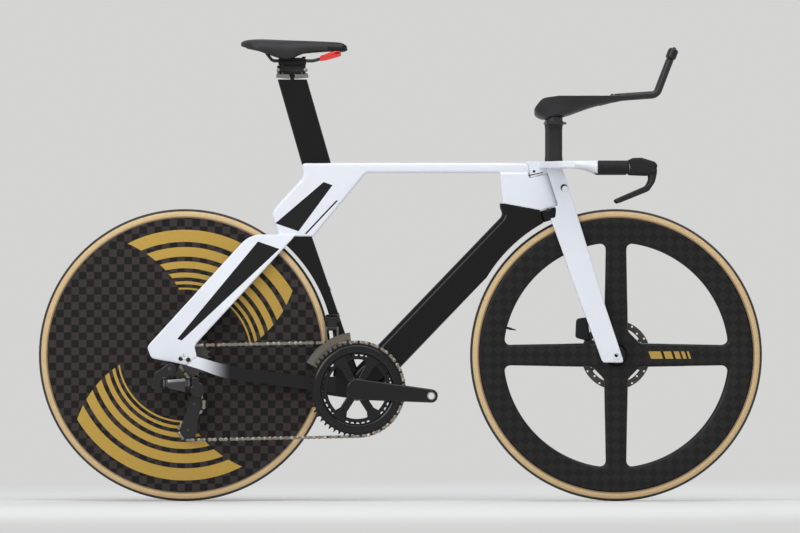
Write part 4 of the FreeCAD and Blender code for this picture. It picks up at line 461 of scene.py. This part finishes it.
wheel_carbon, place, feed = new_finish("wheel_carbon", Coat_Weight=0.3, Coat_Roughness=0.22, Coat_IOR=1.35,
                                       Specular_IOR_Level=0.14)
across = place.part("X") - WHEEL_X
up = place.part("Z") - HUB_HEIGHT
square = checker((across + up) * DIAGONAL, (across - up) * DIAGONAL)
fibre = place.stretch(900, 60, 900).noise(1.0, 3)
cloth = (0.6 * square + 0.4 * fibre).mix((0.0055, 0.0055, 0.0055, 1), (0.0165, 0.016, 0.0155, 1))
slant = across + up * BAR_SLANT
bars = 0.0
for start, width in GOLD_BARS:
    bars = (slant > start) * (slant < start + width) + bars
bars = bars * (up > -BAR_HALF) * (up < BAR_HALF)
leaf = place.stretch(300, 60, 900).noise(1.0, 3)
foil = leaf.mix((0.36, 0.22, 0.045, 1), (0.55, 0.36, 0.09, 1))
feed("Base Color", bars.mix(cloth, foil))
feed("Roughness", 0.36 + 0.1 * square + 0.06 * fibre)
feed("Normal", bump(fibre, 0.00004, 0.4))
front_wheel = moulded("front_wheel_skin", [merged_copy("wheel_copy", "front_wheel")], 0.0024, 14, 0.7)
fit(front_wheel, "front_wheel_set", wheel_carbon, "wheel_carbon", "front_wheel")

# Rear wheel: a closed disc of matte spread-tow cloth with gold foil arcs laid under the lacquer.
# The arcs grow narrower towards the hub and lie in two opposite fans, each with raked ends.
GOLD_ARCS = ((0.262, 0.290), (0.228, 0.250), (0.201, 0.217), (0.180, 0.191), (0.164, 0.171), (0.152, 0.156))
FAN_START = 0.17
FAN_RAKE = 0.9
FAN_SPAN = (0.08, 0.56)
disc_carbon, place, feed = new_finish("disc_carbon", Specular_IOR_Level=0.14)
square = checker(place.part("X") + WHEEL_X, place.part("Z") - HUB_HEIGHT)
warp = place.stretch(1200, 60, 60).noise(1.0, 3)
weft = place.stretch(60, 60, 1200).noise(1.0, 3)
fibre = square * warp + (1 - square) * weft
cloth = (0.78 * square + 0.22 * fibre).mix((0.006, 0.0055, 0.0055, 1), (0.042, 0.035, 0.033, 1))
radius, turn = wheel_polar(place, -WHEEL_X)
fan = turn.math("FRACT", turn * 2 + FAN_START - radius * FAN_RAKE)
arcs = 0.0
for inner, outer in GOLD_ARCS:
    arcs = (radius > inner) * (radius < outer) + arcs
gold = arcs * (fan > FAN_SPAN[0]) * (fan < FAN_SPAN[1])
leaf = place.stretch(300, 60, 900).noise(1.0, 3)
foil = leaf.mix((0.42, 0.26, 0.05, 1), (0.62, 0.42, 0.11, 1))
feed("Base Color", gold.mix(cloth, foil))
feed("Metallic", gold * 0.9)
feed("Roughness", gold * (0.34 + 0.1 * leaf) + (1 - gold) * (0.44 + 0.12 * square))
feed("Normal", bump(fibre * (1 - gold) + gold * 1.4, 0.00006, 0.4))
dress(disc_carbon, "rear_disc")

# Drive: two crank arms and two rings, forged and milled in alloy, under black lacquer.
# The right arm carries the spider that the rings are bolted to; steel inserts line the pedal eyes.
# The big ring's outer face is crowned, so a low round swell is laid over its flat plate.
PEDAL_EYES = ((0.0713, -0.0729, 0.2440), (-0.2723, 0.0729, 0.2750))
INSERT_R = 0.0096
INSERT_WALL = 0.0020
RING_AXLE = (-0.1005, -0.052, 0.2595)
RING_FACE_R = 0.0925
RING_FACE_HALF = 0.0095
RING_FACE_RISE = 0.36


def thicken(piece, thickness, offset=-1):
    """Gives a sheet its wall: inwards, or both ways with an offset of 0."""
    wall = piece.modifiers.new("wall", "SOLIDIFY")
    wall.thickness = thickness
    wall.offset = offset
    bpy.ops.object.modifier_apply(modifier="wall")


def ease_edges(piece, width, segments):
    """Breaks a piece's sharp edges."""
    ease = piece.modifiers.new("ease", "BEVEL")
    ease.width = width
    ease.segments = segments
    bpy.ops.object.modifier_apply(modifier="ease")


crank_black, place, feed = new_finish("crank_lacquer", Coat_Weight=1.0, Coat_Roughness=0.03, Coat_IOR=1.36,
                                      Specular_IOR_Level=0.06)
feed("Base Color", place.noise(80, 3).mix((0.003, 0.003, 0.0035, 1), (0.006, 0.006, 0.007, 1)))
feed("Roughness", 0.36 + 0.14 * place.noise(120, 4))
feed("Normal", bump(place.noise(300, 2), 0.00005, 0.25))
dress(crank_black, "big_chainring", "small_chainring")
for arm in ("crank_arm_left", "crank_arm_right"):
    forged_arm = moulded(arm + "_forged", [merged_copy(arm + "_copy", arm)], 0.0011, 6, 0.45)
    fit(forged_arm, "crank_set", crank_black, "crank_black", arm)
inserts = []
for eye in PEDAL_EYES:
    bpy.ops.object.select_all(action="DESELECT")
    bpy.ops.mesh.primitive_cylinder_add(vertices=40, radius=INSERT_R, depth=0.0016, end_fill_type="NOTHING",
                                        location=eye, rotation=(math.pi / 2, 0, 0))
    bpy.ops.object.transform_apply(location=True, rotation=True, scale=True)
    insert = bpy.context.object
    thicken(insert, INSERT_WALL)
    ease_edges(insert, 0.0004, 2)
    bpy.ops.object.shade_smooth_by_angle(angle=EDGE_ANGLE)
    inserts.append(insert)
fit(gather("pedal_eye_rings", inserts), "crank_set", steel, "steel")
bpy.ops.object.select_all(action="DESELECT")
bpy.ops.mesh.primitive_torus_add(major_segments=96, minor_segments=20, major_radius=RING_FACE_R,
                                 minor_radius=RING_FACE_HALF, location=(0, 0, 0))
ring_face = bpy.context.object
ring_face.name = "chainring_face"
bpy.ops.object.shade_smooth()
flat = Matrix.Scale(RING_FACE_RISE, 4, (0, 0, 1))
ring_face.data.transform(Matrix.Translation(RING_AXLE) @ Matrix.Rotation(math.pi / 2, 4, "X") @ flat)
fit(ring_face, "crank_set", crank_black, "crank_black")

# Chain and cassette: links stamped from steel plate and riveted, bright outer links over darker inner ones.
# The cogs are milled steel; the front derailleur's cage, which guides the chain, is bent from like plate.
chain_bright = metal_finish("chain_bright", (0.17, 0.15, 0.128, 1), (0.36, 0.325, 0.28, 1), 0.24, (500, 500, 500))
chain_dark = metal_finish("chain_dark", (0.022, 0.019, 0.017, 1), (0.07, 0.062, 0.055, 1), 0.3, (500, 500, 500))
cog_steel = metal_finish("cog_steel", (0.05, 0.047, 0.044, 1), (0.16, 0.15, 0.14, 1), 0.26, (900, 200, 900))
fd_plate = metal_finish("fd_plate", (0.1, 0.088, 0.075, 1), (0.26, 0.23, 0.2, 1), 0.24, (500, 200, 500))
OUTER_LINK_WIDTH = 0.0045
merged_copy("chain_links", "chain")
bpy.ops.object.mode_set(mode="EDIT")
bpy.ops.mesh.separate(type="LOOSE")
bpy.ops.object.mode_set(mode="OBJECT")
link_list = list(bpy.context.selected_objects)
for link in link_list:
    link.data.materials.clear()
    link.data.materials.append(chain_bright if link.dimensions.y > OUTER_LINK_WIDTH else chain_dark)
links = gather("chain_links", link_list)
bpy.ops.object.shade_smooth_by_angle(angle=EDGE_ANGLE)
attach(links, "frame")
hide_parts("chain")
dress(cog_steel, "cassette")
dress(fd_plate, "fd_cage")

# Derailleurs: knuckles and links forged in alloy and lacquered black, turning on hardened pins.
# The rear one's outer link is left silver behind a black blade, with a highlight painted light grey along its crest.
derailleur_black = metal_finish("derailleur_black", (0.006, 0.006, 0.007, 1), (0.018, 0.018, 0.02, 1), 0.22,
                                (200, 200, 200), 0.3)
link_silver = metal_finish("link_silver", (0.03, 0.03, 0.031, 1), (0.2, 0.2, 0.205, 1), 0.18, (30, 200, 260))
gloss_black, place, feed = new_finish("gloss_black", Coat_Weight=1.0, Coat_Roughness=0.04, Coat_IOR=1.42,
                                      Specular_IOR_Level=0.1)
feed("Base Color", place.noise(120, 3).mix((0.004, 0.004, 0.0045, 1), (0.010, 0.010, 0.011, 1)))
feed("Roughness", 0.3 + 0.12 * place.noise(160, 3))
dress(derailleur_black, "rd_inner_link", "rd_cage", "guide_pulley", "tension_pulley", "fd_body", "fd_link")
for node, body, finish in (
    ("rd_knuckle", "frame", gloss_black),
    ("rd_outer_link", "rear_outer_link", link_silver),
    ("rd_lower_knuckle", "rear_lower_knuckle", gloss_black),
):
    forging = moulded(node + "_forging", [merged_copy(node + "_copy", node)], 0.0008, 6, 0.4)
    fit(forging, body, finish, "derailleur_black", node)
BLADE_BACK = (-0.5375, 0.2815, 0.2625)
BLADE_FRONT = (-0.4965, 0.2845, 0.2530)
BLADE_FACE = -0.1080
BLADE_THICK = 0.003
BLADE_SLOPE = 0.07
BLADE_HIGHLIGHT_BAND = (0.3115, 0.3145)
blade_finish, place, feed = new_finish("blade_finish", Coat_Weight=1.0, Coat_Roughness=0.04, Coat_IOR=1.42)
# Painted highlight: a light grey, metallic band along the blade's crest stands in for the light caught there.
painted_crest_highlight = (place.part("Z") - place.part("X") * BLADE_SLOPE).step(*BLADE_HIGHLIGHT_BAND)
feed("Base Color", painted_crest_highlight.mix((0.006, 0.006, 0.007, 1), (0.24, 0.24, 0.25, 1)))
feed("Metallic", painted_crest_highlight * 0.9)
feed("Roughness", 0.24 + 0.1 * place.noise(160, 3))
bpy.ops.object.select_all(action="DESELECT")
bpy.ops.mesh.primitive_cube_add(size=1, location=(0, 0, 0))
blade = bpy.context.object
blade.name = "rd_link_blade"
for vertex in blade.data.vertices:
    end_x, top, foot = BLADE_FRONT if vertex.co.x > 0 else BLADE_BACK
    vertex.co = (end_x, BLADE_FACE + BLADE_THICK * vertex.co.y, top if vertex.co.z > 0 else foot)
ease_edges(blade, 0.0022, 4)
bpy.ops.object.shade_smooth_by_angle(angle=EDGE_ANGLE)
fit(blade, "rear_outer_link", blade_finish, "derailleur_black")

# Cage plate: a broad moulded plate screwed outside the rear cage, wider round the lower pulley.
# Its two screws are the pulleys' axles, and a third, larger one holds the derailleur on the hanger.
GUIDE = Vector((-0.4756, 0, 0.2247))
TENSION = Vector((-0.4894, 0, 0.1645))
GUIDE_END_R = 0.0135
TENSION_END_R = 0.0195
PLATE_THICK = 0.0015
PLATE_FACE = -0.07062
PIN_FACE = Vector((0, -0.0727, 0))
HANGER_BOLT = Vector((-0.531, -0.1078, 0.306))
bpy.ops.object.select_all(action="DESELECT")
bpy.ops.mesh.primitive_circle_add(vertices=40, radius=1, fill_type="NGON", location=(0, 0, 0),
                                  rotation=(math.pi / 2, 0, 0))
bpy.ops.object.transform_apply(location=True, rotation=True, scale=True)
cage_plate = bpy.context.object
cage_plate.name = "cage_outer_plate"
down = (TENSION - GUIDE).normalized()
for vertex in cage_plate.data.vertices:
    low = vertex.co.dot(down) > 0
    vertex.co = TENSION + vertex.co * TENSION_END_R if low else GUIDE + vertex.co * GUIDE_END_R
    vertex.co.y = PLATE_FACE
thicken(cage_plate, PLATE_THICK, 0)
ease_edges(cage_plate, 0.0004, 2)
fit(cage_plate, "rear_cage", gloss_black, "derailleur_black")
for pin_name, pin_body, pin_spot, pin_r in (
    ("guide_pulley_screw", "rear_cage", GUIDE + PIN_FACE, 0.0042),
    ("tension_pulley_screw", "rear_cage", TENSION + PIN_FACE, 0.0042),
    ("hanger_bolt_head", "frame", HANGER_BOLT, 0.0052),
):
    pin = screw_head(pin_spot, pin_r, tall=0.0014, socket=pin_r * 0.5, deep=0.001)
    pin.name = pin_name
    fit(pin, pin_body, dark_steel, "steel")

# Fork and base bar: hollow carbon, painted with the frame; the turret of the bar closes over the head tube.
# A narrow slot and a small screw show on each side, where the turret is clamped.
TURRET_SLOT = (0.3138, 0.7571)
SLOT_WAY = (0.978, 0.208)
SLOT_HALF_LONG = 0.0166
SLOT_HALF_TALL = 0.0012
TURRET_SCREW = (0.3092, 0.7630)
TURRET_SCREW_R = 0.003194
steering_paint, place, feed, white = white_coat("steering_paint")
across = place.part("X") - TURRET_SLOT[0]
up = place.part("Z") - TURRET_SLOT[1]
run = across * SLOT_WAY[0] + up * SLOT_WAY[1]
aside = up * SLOT_WAY[0] - across * SLOT_WAY[1]
opening = (run.math("ABSOLUTE", run) < SLOT_HALF_LONG) * (aside.math("ABSOLUTE", aside) < SLOT_HALF_TALL)
across = place.part("X") - TURRET_SCREW[0]
up = place.part("Z") - TURRET_SCREW[1]
opening = opening.math("MAXIMUM", opening, across * across + up * up < TURRET_SCREW_R ** 2)
feed("Base Color", opening.mix(white, FLASH_BLACK))
fork_copies = [merged_copy("fork_copy", "fork"), merged_copy("bar_copy", "base_bar")]
fork_skin = moulded("fork_skin", fork_copies, 0.0016, 8, 0.5)
fit(fork_skin, "steering", steering_paint, "paint_white", "fork", "base_bar")

# Turret bolts and crown: a long bolt crosses the turret and hides under a painted cap in a dark well each side.
# The front axle's end shows as one more dark well low on the right blade.
# A black moulded fairing, clipped on behind the crown, closes the gap to the head tube.
TURRET_BOLT = (0.3809, 0.7224)
WELL_SHIFT = Vector((-0.0022, 0, 0.0026))
AXLE_END = (0.4978, 0.3355)
STEER_FOOT = Vector((0.457, 0, 0.3248))
STEER_UP = Vector((-0.3007, 0, 0.9537))
FAIRING_UP = 0.3565
wells = []
caps = []
for side in (-1, 1):
    bolt = on_skin(fork_skin, TURRET_BOLT, side)
    wells.append(screw_head(bolt + WELL_SHIFT, 0.0084, tall=0.0008, socket=0.004, deep=0.0002,
                            way=(0, side, 0), sides=32))
    caps.append(screw_head(bolt, 0.0072, tall=0.0022, socket=0.0026, deep=0.0002, way=(0, side, 0), sides=32))
wells.append(screw_head(on_skin(fork_skin, AXLE_END), AXLE_SOCKET, tall=0.0008, socket=0.0024, deep=0.0006))
fit(gather("turret_bolt_wells", wells), "steering", black_alloy, "black_alloy")
fit(gather("turret_bolt_caps", caps), "steering", steering_paint, "paint_white")
bpy.ops.object.select_all(action="DESELECT")
bpy.ops.mesh.primitive_cylinder_add(vertices=48, radius=0.0292, depth=0.027, location=(0, 0, 0))
fairing = bpy.context.object
fairing.name = "crown_fairing"
ease_edges(fairing, 0.004, 4)
bpy.ops.object.shade_smooth_by_angle(angle=EDGE_ANGLE)
fairing_turn = Vector((0, 0, 1)).rotation_difference(STEER_UP).to_matrix().to_4x4()
fairing.data.transform(Matrix.Translation(STEER_FOOT + STEER_UP * FAIRING_UP) @ fairing_turn)
fit(fairing, "steering", black_paint, "paint_black")

# Riser and forearm extensions: matte carbon, moulded in one with the arm cups and bolted to the base bar.
# Each cup narrows into a round tube, and a short taper fills in where the tube leaves the cup's floor.
TUBE_FOOT = Vector((0.4947, 0.056, 0.934))
TAPER_END = Vector((0.460, 0.0595, 0.9185))
bar_carbon, place, feed = new_finish("bar_carbon")
fibre = place.stretch(200, 900, 900).noise(1.0, 3)
feed("Base Color", fibre.mix((0.006, 0.006, 0.0065, 1), (0.015, 0.015, 0.016, 1)))
feed("Roughness", 0.36 + 0.14 * fibre)
feed("Normal", bump(fibre, 0.00005, 0.5))
riser = moulded("riser_column", [merged_copy("riser_copy", "riser")], 0.0014, 6, 0.5)
fit(riser, "steering", bar_carbon, "bar_carbon", "riser")
shell_copies = [merged_copy("shell_copy", "forearm_extensions")]
for side in (-1, 1):
    tube_foot = TUBE_FOOT * Vector((1, side, 1))
    taper = TAPER_END * Vector((1, side, 1)) - tube_foot
    bpy.ops.object.select_all(action="DESELECT")
    bpy.ops.mesh.primitive_cone_add(vertices=32, radius1=0.0105, radius2=0.004, depth=taper.length,
                                    location=tube_foot + taper / 2,
                                    rotation=taper.to_track_quat("Z", "Y").to_euler())
    bpy.ops.object.transform_apply(location=True, rotation=True, scale=True)
    shell_copies.append(bpy.context.object)
shells = moulded("forearm_shells", shell_copies, 0.0012, 12, 0.45)
fit(shells, "steering", bar_carbon, "bar_carbon", "forearm_extensions")

# Levers and grips: forged alloy levers on a pivot screw in each hood, and shift buttons in the extension tips.
# Grips and hoods are moulded in soft rubber, so their edges are rounded over and their skin has a fine tooth.
LEVER_PIVOT = (0.5817, 0.765)
grip_rubber, place, feed = new_finish("grip_rubber", Specular_IOR_Level=0.25)
feed("Base Color", place.noise(160, 4).mix((0.007, 0.007, 0.007, 1), (0.016, 0.016, 0.016, 1)))
feed("Roughness", 0.56 + 0.16 * place.noise(300, 3))
feed("Normal", bump(place.noise(1500, 2), 0.0002, 0.6))
dress(derailleur_black, "shifter_pods", "tip_button_left", "tip_button_right")
for side_name in ("left", "right"):
    lever = "brake_lever_" + side_name
    lever_blade = moulded(lever + "_blade", [merged_copy(lever + "_copy", lever)], 0.0008, 6, 0.5)
    fit(lever_blade, "lever_" + side_name, derailleur_black, "lever_black", lever)
hoods = moulded("hood_rubbers", [merged_copy("brake_hoods_copy", "brake_hoods")], 0.0012, 8)
fit(hoods, "steering", grip_rubber, "grip_rubber", "brake_hoods")
grips = moulded("grip_sleeves", [merged_copy("bar_grips_copy", "bar_grips")], 0.0012, 8)
fit(grips, "steering", grip_rubber, "grip_rubber", "bar_grips")
lever_screws = [
    screw_head(on_skin(hoods, LEVER_PIVOT, side), 0.0036, tall=0.0012, socket=0.0017, deep=0.0008,
               way=(0, side, 0), sides=20)
    for side in (-1, 1)
]
fit(gather("lever_pivot_screws", lever_screws), "steering", dark_steel, "steel")

# Arm pads: thin foam under knitted cloth, crowned between two sewn channels and pinched at its edge.
# Each one lies in a cup, and a hook tape under it holds it there.
CUP_X = 0.3547
CUP_RIM = 0.938
CUP_SPREAD = 0.072
PAD_GAP = 0.0041
PAD_THICK = 0.0052
PAD_BACK = -0.036
PAD_LONG = 0.062
PAD_ROWS = 13
PAD_COLUMNS = 17
SEWN_ROWS = (4, 8)
SEAM_SINK = 0.0022
EDGE_SINK = 0.0018
RIBS = 2600
# Each station: its place along the cup, the cup's half width and depth, and how far below the rim the pad stops.
PAD_STATIONS = ((-0.036, 0.044, 0.051, 0.031), (-0.022, 0.0455, 0.053, 0.018), (-0.008, 0.047, 0.055, 0.0145),
                (0.026, 0.0425, 0.0477, 0.0135))


def along(stations, at, column):
    """A station table read at one place, in a straight line from station to station."""
    for low, high in zip(stations, stations[1:]):
        if at <= high[0]:
            break
    share = min(max((at - low[0]) / (high[0] - low[0]), 0.0), 1.0)
    return low[column] + (high[column] - low[column]) * share


def face_out(piece, upwards):
    """Turns a sheet's faces all one way, with the middle one up or down."""
    bpy.ops.object.mode_set(mode="EDIT")
    bpy.ops.mesh.select_all(action="SELECT")
    bpy.ops.mesh.normals_make_consistent(inside=False)
    bpy.ops.object.mode_set(mode="OBJECT")
    middle = piece.data.polygons[len(piece.data.polygons) // 2]
    if (middle.normal.z > 0) != upwards:
        piece.data.flip_normals()


def round_over(piece, levels):
    """Rounds a foam piece with a subdivision surface."""
    soft = piece.modifiers.new("soft", "SUBSURF")
    soft.levels = levels
    soft.render_levels = levels
    bpy.ops.object.modifier_apply(modifier="soft")
    bpy.ops.object.shade_smooth()


pad_cloth, place, feed = new_finish("pad_cloth", Sheen_Weight=0.25)
x_rib, y_rib = (place.math("SINE", place.part(letter) * RIBS) for letter in "XY")
rib = x_rib * y_rib
feed("Base Color", (0.5 + 0.5 * rib).mix((0.010, 0.010, 0.011, 1), (0.030, 0.030, 0.032, 1)))
feed("Roughness", 0.8 + 0.1 * place.noise(400, 3))
feed("Normal", bump(rib, 0.00025, 0.7))
for side_name, side in (("left", 1), ("right", -1)):
    bpy.ops.object.select_all(action="DESELECT")
    bpy.ops.mesh.primitive_grid_add(x_subdivisions=PAD_COLUMNS - 1, y_subdivisions=PAD_ROWS - 1, size=1)
    pad = bpy.context.object
    pad.name = "arm_pad_" + side_name
    for vertex in pad.data.vertices:
        at = PAD_BACK + PAD_LONG * (vertex.co.x + 0.5)
        half_width = along(PAD_STATIONS, at, 1) - PAD_GAP
        depth = along(PAD_STATIONS, at, 2) - PAD_GAP
        start = math.asin(along(PAD_STATIONS, at, 3) / depth)
        angle = start + (math.pi - 2 * start) * (vertex.co.y + 0.5)
        across = CUP_SPREAD + half_width * math.cos(angle)
        vertex.co = (CUP_X + at, side * across, CUP_RIM - depth * math.sin(angle))
    face_out(pad, False)
    count = len(pad.data.vertices)
    thicken(pad, PAD_THICK)
    for vertex in pad.data.vertices[count:]:
        row, column = divmod(vertex.index - count, PAD_COLUMNS)
        sink = SEAM_SINK if row in SEWN_ROWS else 0.0
        edge = EDGE_SINK if column in (0, PAD_COLUMNS - 1) or row in (0, PAD_ROWS - 1) else 0.0
        centre = Vector((vertex.co.x, side * CUP_SPREAD, CUP_RIM))
        vertex.co += (vertex.co - centre).normalized() * max(sink, edge)
    round_over(pad, 2)
    pad.data.materials.append(pad_cloth)
    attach(pad, "steering")
    if side == 1:
        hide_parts("arm_pads")

# Saddle: foam under a smooth black skin, pulled over a moulded shell and glued under its edge.
# The flanks hang lowest beside the clamp, a shallow groove runs along the top, and the nose is wrapped in gloss.
# Each station: its place along the bike, the saddle's half width, and the heights of its crown and its edge.
SADDLE_STATIONS = (
    (-0.3710, 0.020, 1.0600, 1.0525), (-0.3630, 0.044, 1.0660, 1.0505), (-0.3450, 0.060, 1.0687, 1.0460),
    (-0.3240, 0.066, 1.0697, 1.0410), (-0.3000, 0.061, 1.0692, 1.0320), (-0.2770, 0.053, 1.0682, 1.0235),
    (-0.2590, 0.047, 1.0676, 1.0215), (-0.2450, 0.043, 1.0671, 1.0255), (-0.2320, 0.039, 1.0667, 1.0340),
    (-0.2050, 0.033, 1.0658, 1.0400), (-0.1740, 0.028, 1.0645, 1.0410), (-0.1500, 0.024, 1.0630, 1.0395),
    (-0.1350, 0.0215, 1.0612, 1.0392), (-0.1270, 0.0175, 1.0582, 1.0400), (-0.1215, 0.009, 1.0530, 1.0425),
)
SADDLE_ROWS = 19
SKIN_THICK = 0.006
FLANK_BULGE = 0.72
CROWN_ROUND = 0.62
GROOVE_SPAN = (-0.335, -0.155)
GROOVE_DEEP = 0.0028
GROOVE_HALF = 0.007
NOSE_WRAP = (-0.172, -0.166)
SKIN_ROUGH = 0.46
NOSE_ROUGH = 0.2
last_station = len(SADDLE_STATIONS) - 1
bpy.ops.object.select_all(action="DESELECT")
bpy.ops.mesh.primitive_grid_add(x_subdivisions=last_station, y_subdivisions=SADDLE_ROWS - 1, size=1)
saddle = bpy.context.object
saddle.name = "saddle_skin"
for vertex in saddle.data.vertices:
    at, half_width, top, edge = SADDLE_STATIONS[round((vertex.co.x + 0.5) * last_station)]
    lean = vertex.co.y * math.pi
    across = math.copysign(half_width * abs(math.sin(lean)) ** FLANK_BULGE, lean)
    rise = abs(math.cos(lean)) ** CROWN_ROUND
    groove = 0.0
    if GROOVE_SPAN[0] < at < GROOVE_SPAN[1]:
        groove = GROOVE_DEEP * math.exp(-(across / GROOVE_HALF) ** 2)
    vertex.co = (at, across, edge + (top - edge) * rise - groove)
face_out(saddle, True)
thicken(saddle, SKIN_THICK)
round_over(saddle, 3)
saddle_skin, place, feed = new_finish("saddle_skin", Coat_Weight=0.12, Coat_Roughness=0.3, Specular_IOR_Level=0.25)
pores = place.node("ShaderNodeTexVoronoi", {}, {"Vector": place, "Scale": 900}, "Distance")
nose = place.part("X").step(*NOSE_WRAP)
skin = place.noise(40, 4).mix((0.012, 0.012, 0.013, 1), (0.024, 0.024, 0.026, 1))
feed("Base Color", nose.mix(skin, (0.006, 0.006, 0.007, 1)))
feed("Roughness", nose * (NOSE_ROUGH - SKIN_ROUGH) + SKIN_ROUGH + 0.1 * place.noise(220, 3))
feed("Normal", bump(pores * (1 - nose), 0.00012, 0.5))
saddle.data.materials.append(saddle_skin)
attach(saddle, "saddle")
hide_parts("saddle_cover")
dress(grip_rubber, "saddle_shell")

# Nose bridge: a red plastic block moulded over both rails, which ties them together under the nose.
# It is as wide as the rails and closed all round, so it is drawn tight as one convex block.
RAIL_COVER = 0.0275
red_nose, place, feed = new_finish("red_nose", Coat_Weight=0.4)
feed("Base Color", place.noise(90, 3).mix((0.62, 0.02, 0.012, 1), (0.8, 0.035, 0.02, 1)))
feed("Roughness", 0.3 + 0.1 * place.noise(200, 3))
bridge = merged_copy("red_bridge", "saddle_nose_bridge")
half_width = max(vertex.co.y for vertex in bridge.data.vertices)
bridge.data.transform(Matrix.Scale(RAIL_COVER / half_width, 4, (0, 1, 0)))
bpy.ops.object.mode_set(mode="EDIT")
bpy.ops.mesh.select_all(action="SELECT")
bpy.ops.mesh.convex_hull()
bpy.ops.object.mode_set(mode="OBJECT")
bridge.data.materials.clear()
bpy.ops.object.shade_smooth_by_angle(angle=EDGE_ANGLE)
fit(bridge, "saddle", red_nose, "nose_red", "saddle_nose_bridge")

# Saddle clamp: a dark forged cradle on a bright base strip, drawn together by two long bolts.
# The block between them is milled out at each side, and the bolts screw into barrel nuts that cross it.
STRIP_TOP = (0.9875, 0.9885)
BLOCK_AT = (-0.2523, 0, 0.9995)
BLOCK_SIZE = (0.066, 0.050, 0.017)
POCKET_RIM = 0.0042
POCKET_DEEP = 0.004
NUT_X = (-0.2832, -0.2190)
NUT_FACE = 0.0255
NUT_HEIGHT = 0.998
clamp_finish, place, feed = new_finish("clamp_alloy", Metallic=0.8)
strip = 1 - place.part("Z").step(*STRIP_TOP)
grain = place.stretch(60, 900, 400).noise(1.0, 3)
cradle_dark = grain.mix((0.008, 0.008, 0.009, 1), (0.018, 0.018, 0.02, 1))
strip_bright = grain.mix((0.15, 0.147, 0.143, 1), (0.27, 0.265, 0.26, 1))
feed("Base Color", strip.mix(cradle_dark, strip_bright))
feed("Roughness", 0.28 + 0.14 * place.noise(200, 3))
dress(clamp_finish, "saddle_clamp")
bpy.ops.object.select_all(action="DESELECT")
bpy.ops.mesh.primitive_cube_add(size=1, location=BLOCK_AT, scale=BLOCK_SIZE)
bpy.ops.object.transform_apply(location=True, rotation=True, scale=True)
block = bpy.context.object
block.name = "clamp_block"
pick_faces(block, lambda face: abs(face.normal.y) > 0.9)
bpy.ops.mesh.inset(thickness=POCKET_RIM, depth=-POCKET_DEEP, use_individual=True)
bpy.ops.object.mode_set(mode="OBJECT")
ease_edges(block, 0.0015, 3)
bpy.ops.object.shade_smooth_by_angle(angle=EDGE_ANGLE)
fit(block, "cradle", black_alloy, "clamp_silver")
barrel_nuts = [
    screw_head(Vector((nut_x, side * NUT_FACE, NUT_HEIGHT)), 0.0042, tall=0.0016, socket=0.0018, deep=0.0008,
               way=(0, side, 0), sides=20)
    for nut_x in NUT_X for side in (-1, 1)
]
fit(gather("clamp_barrel_nuts", barrel_nuts), "cradle", steel, "steel")
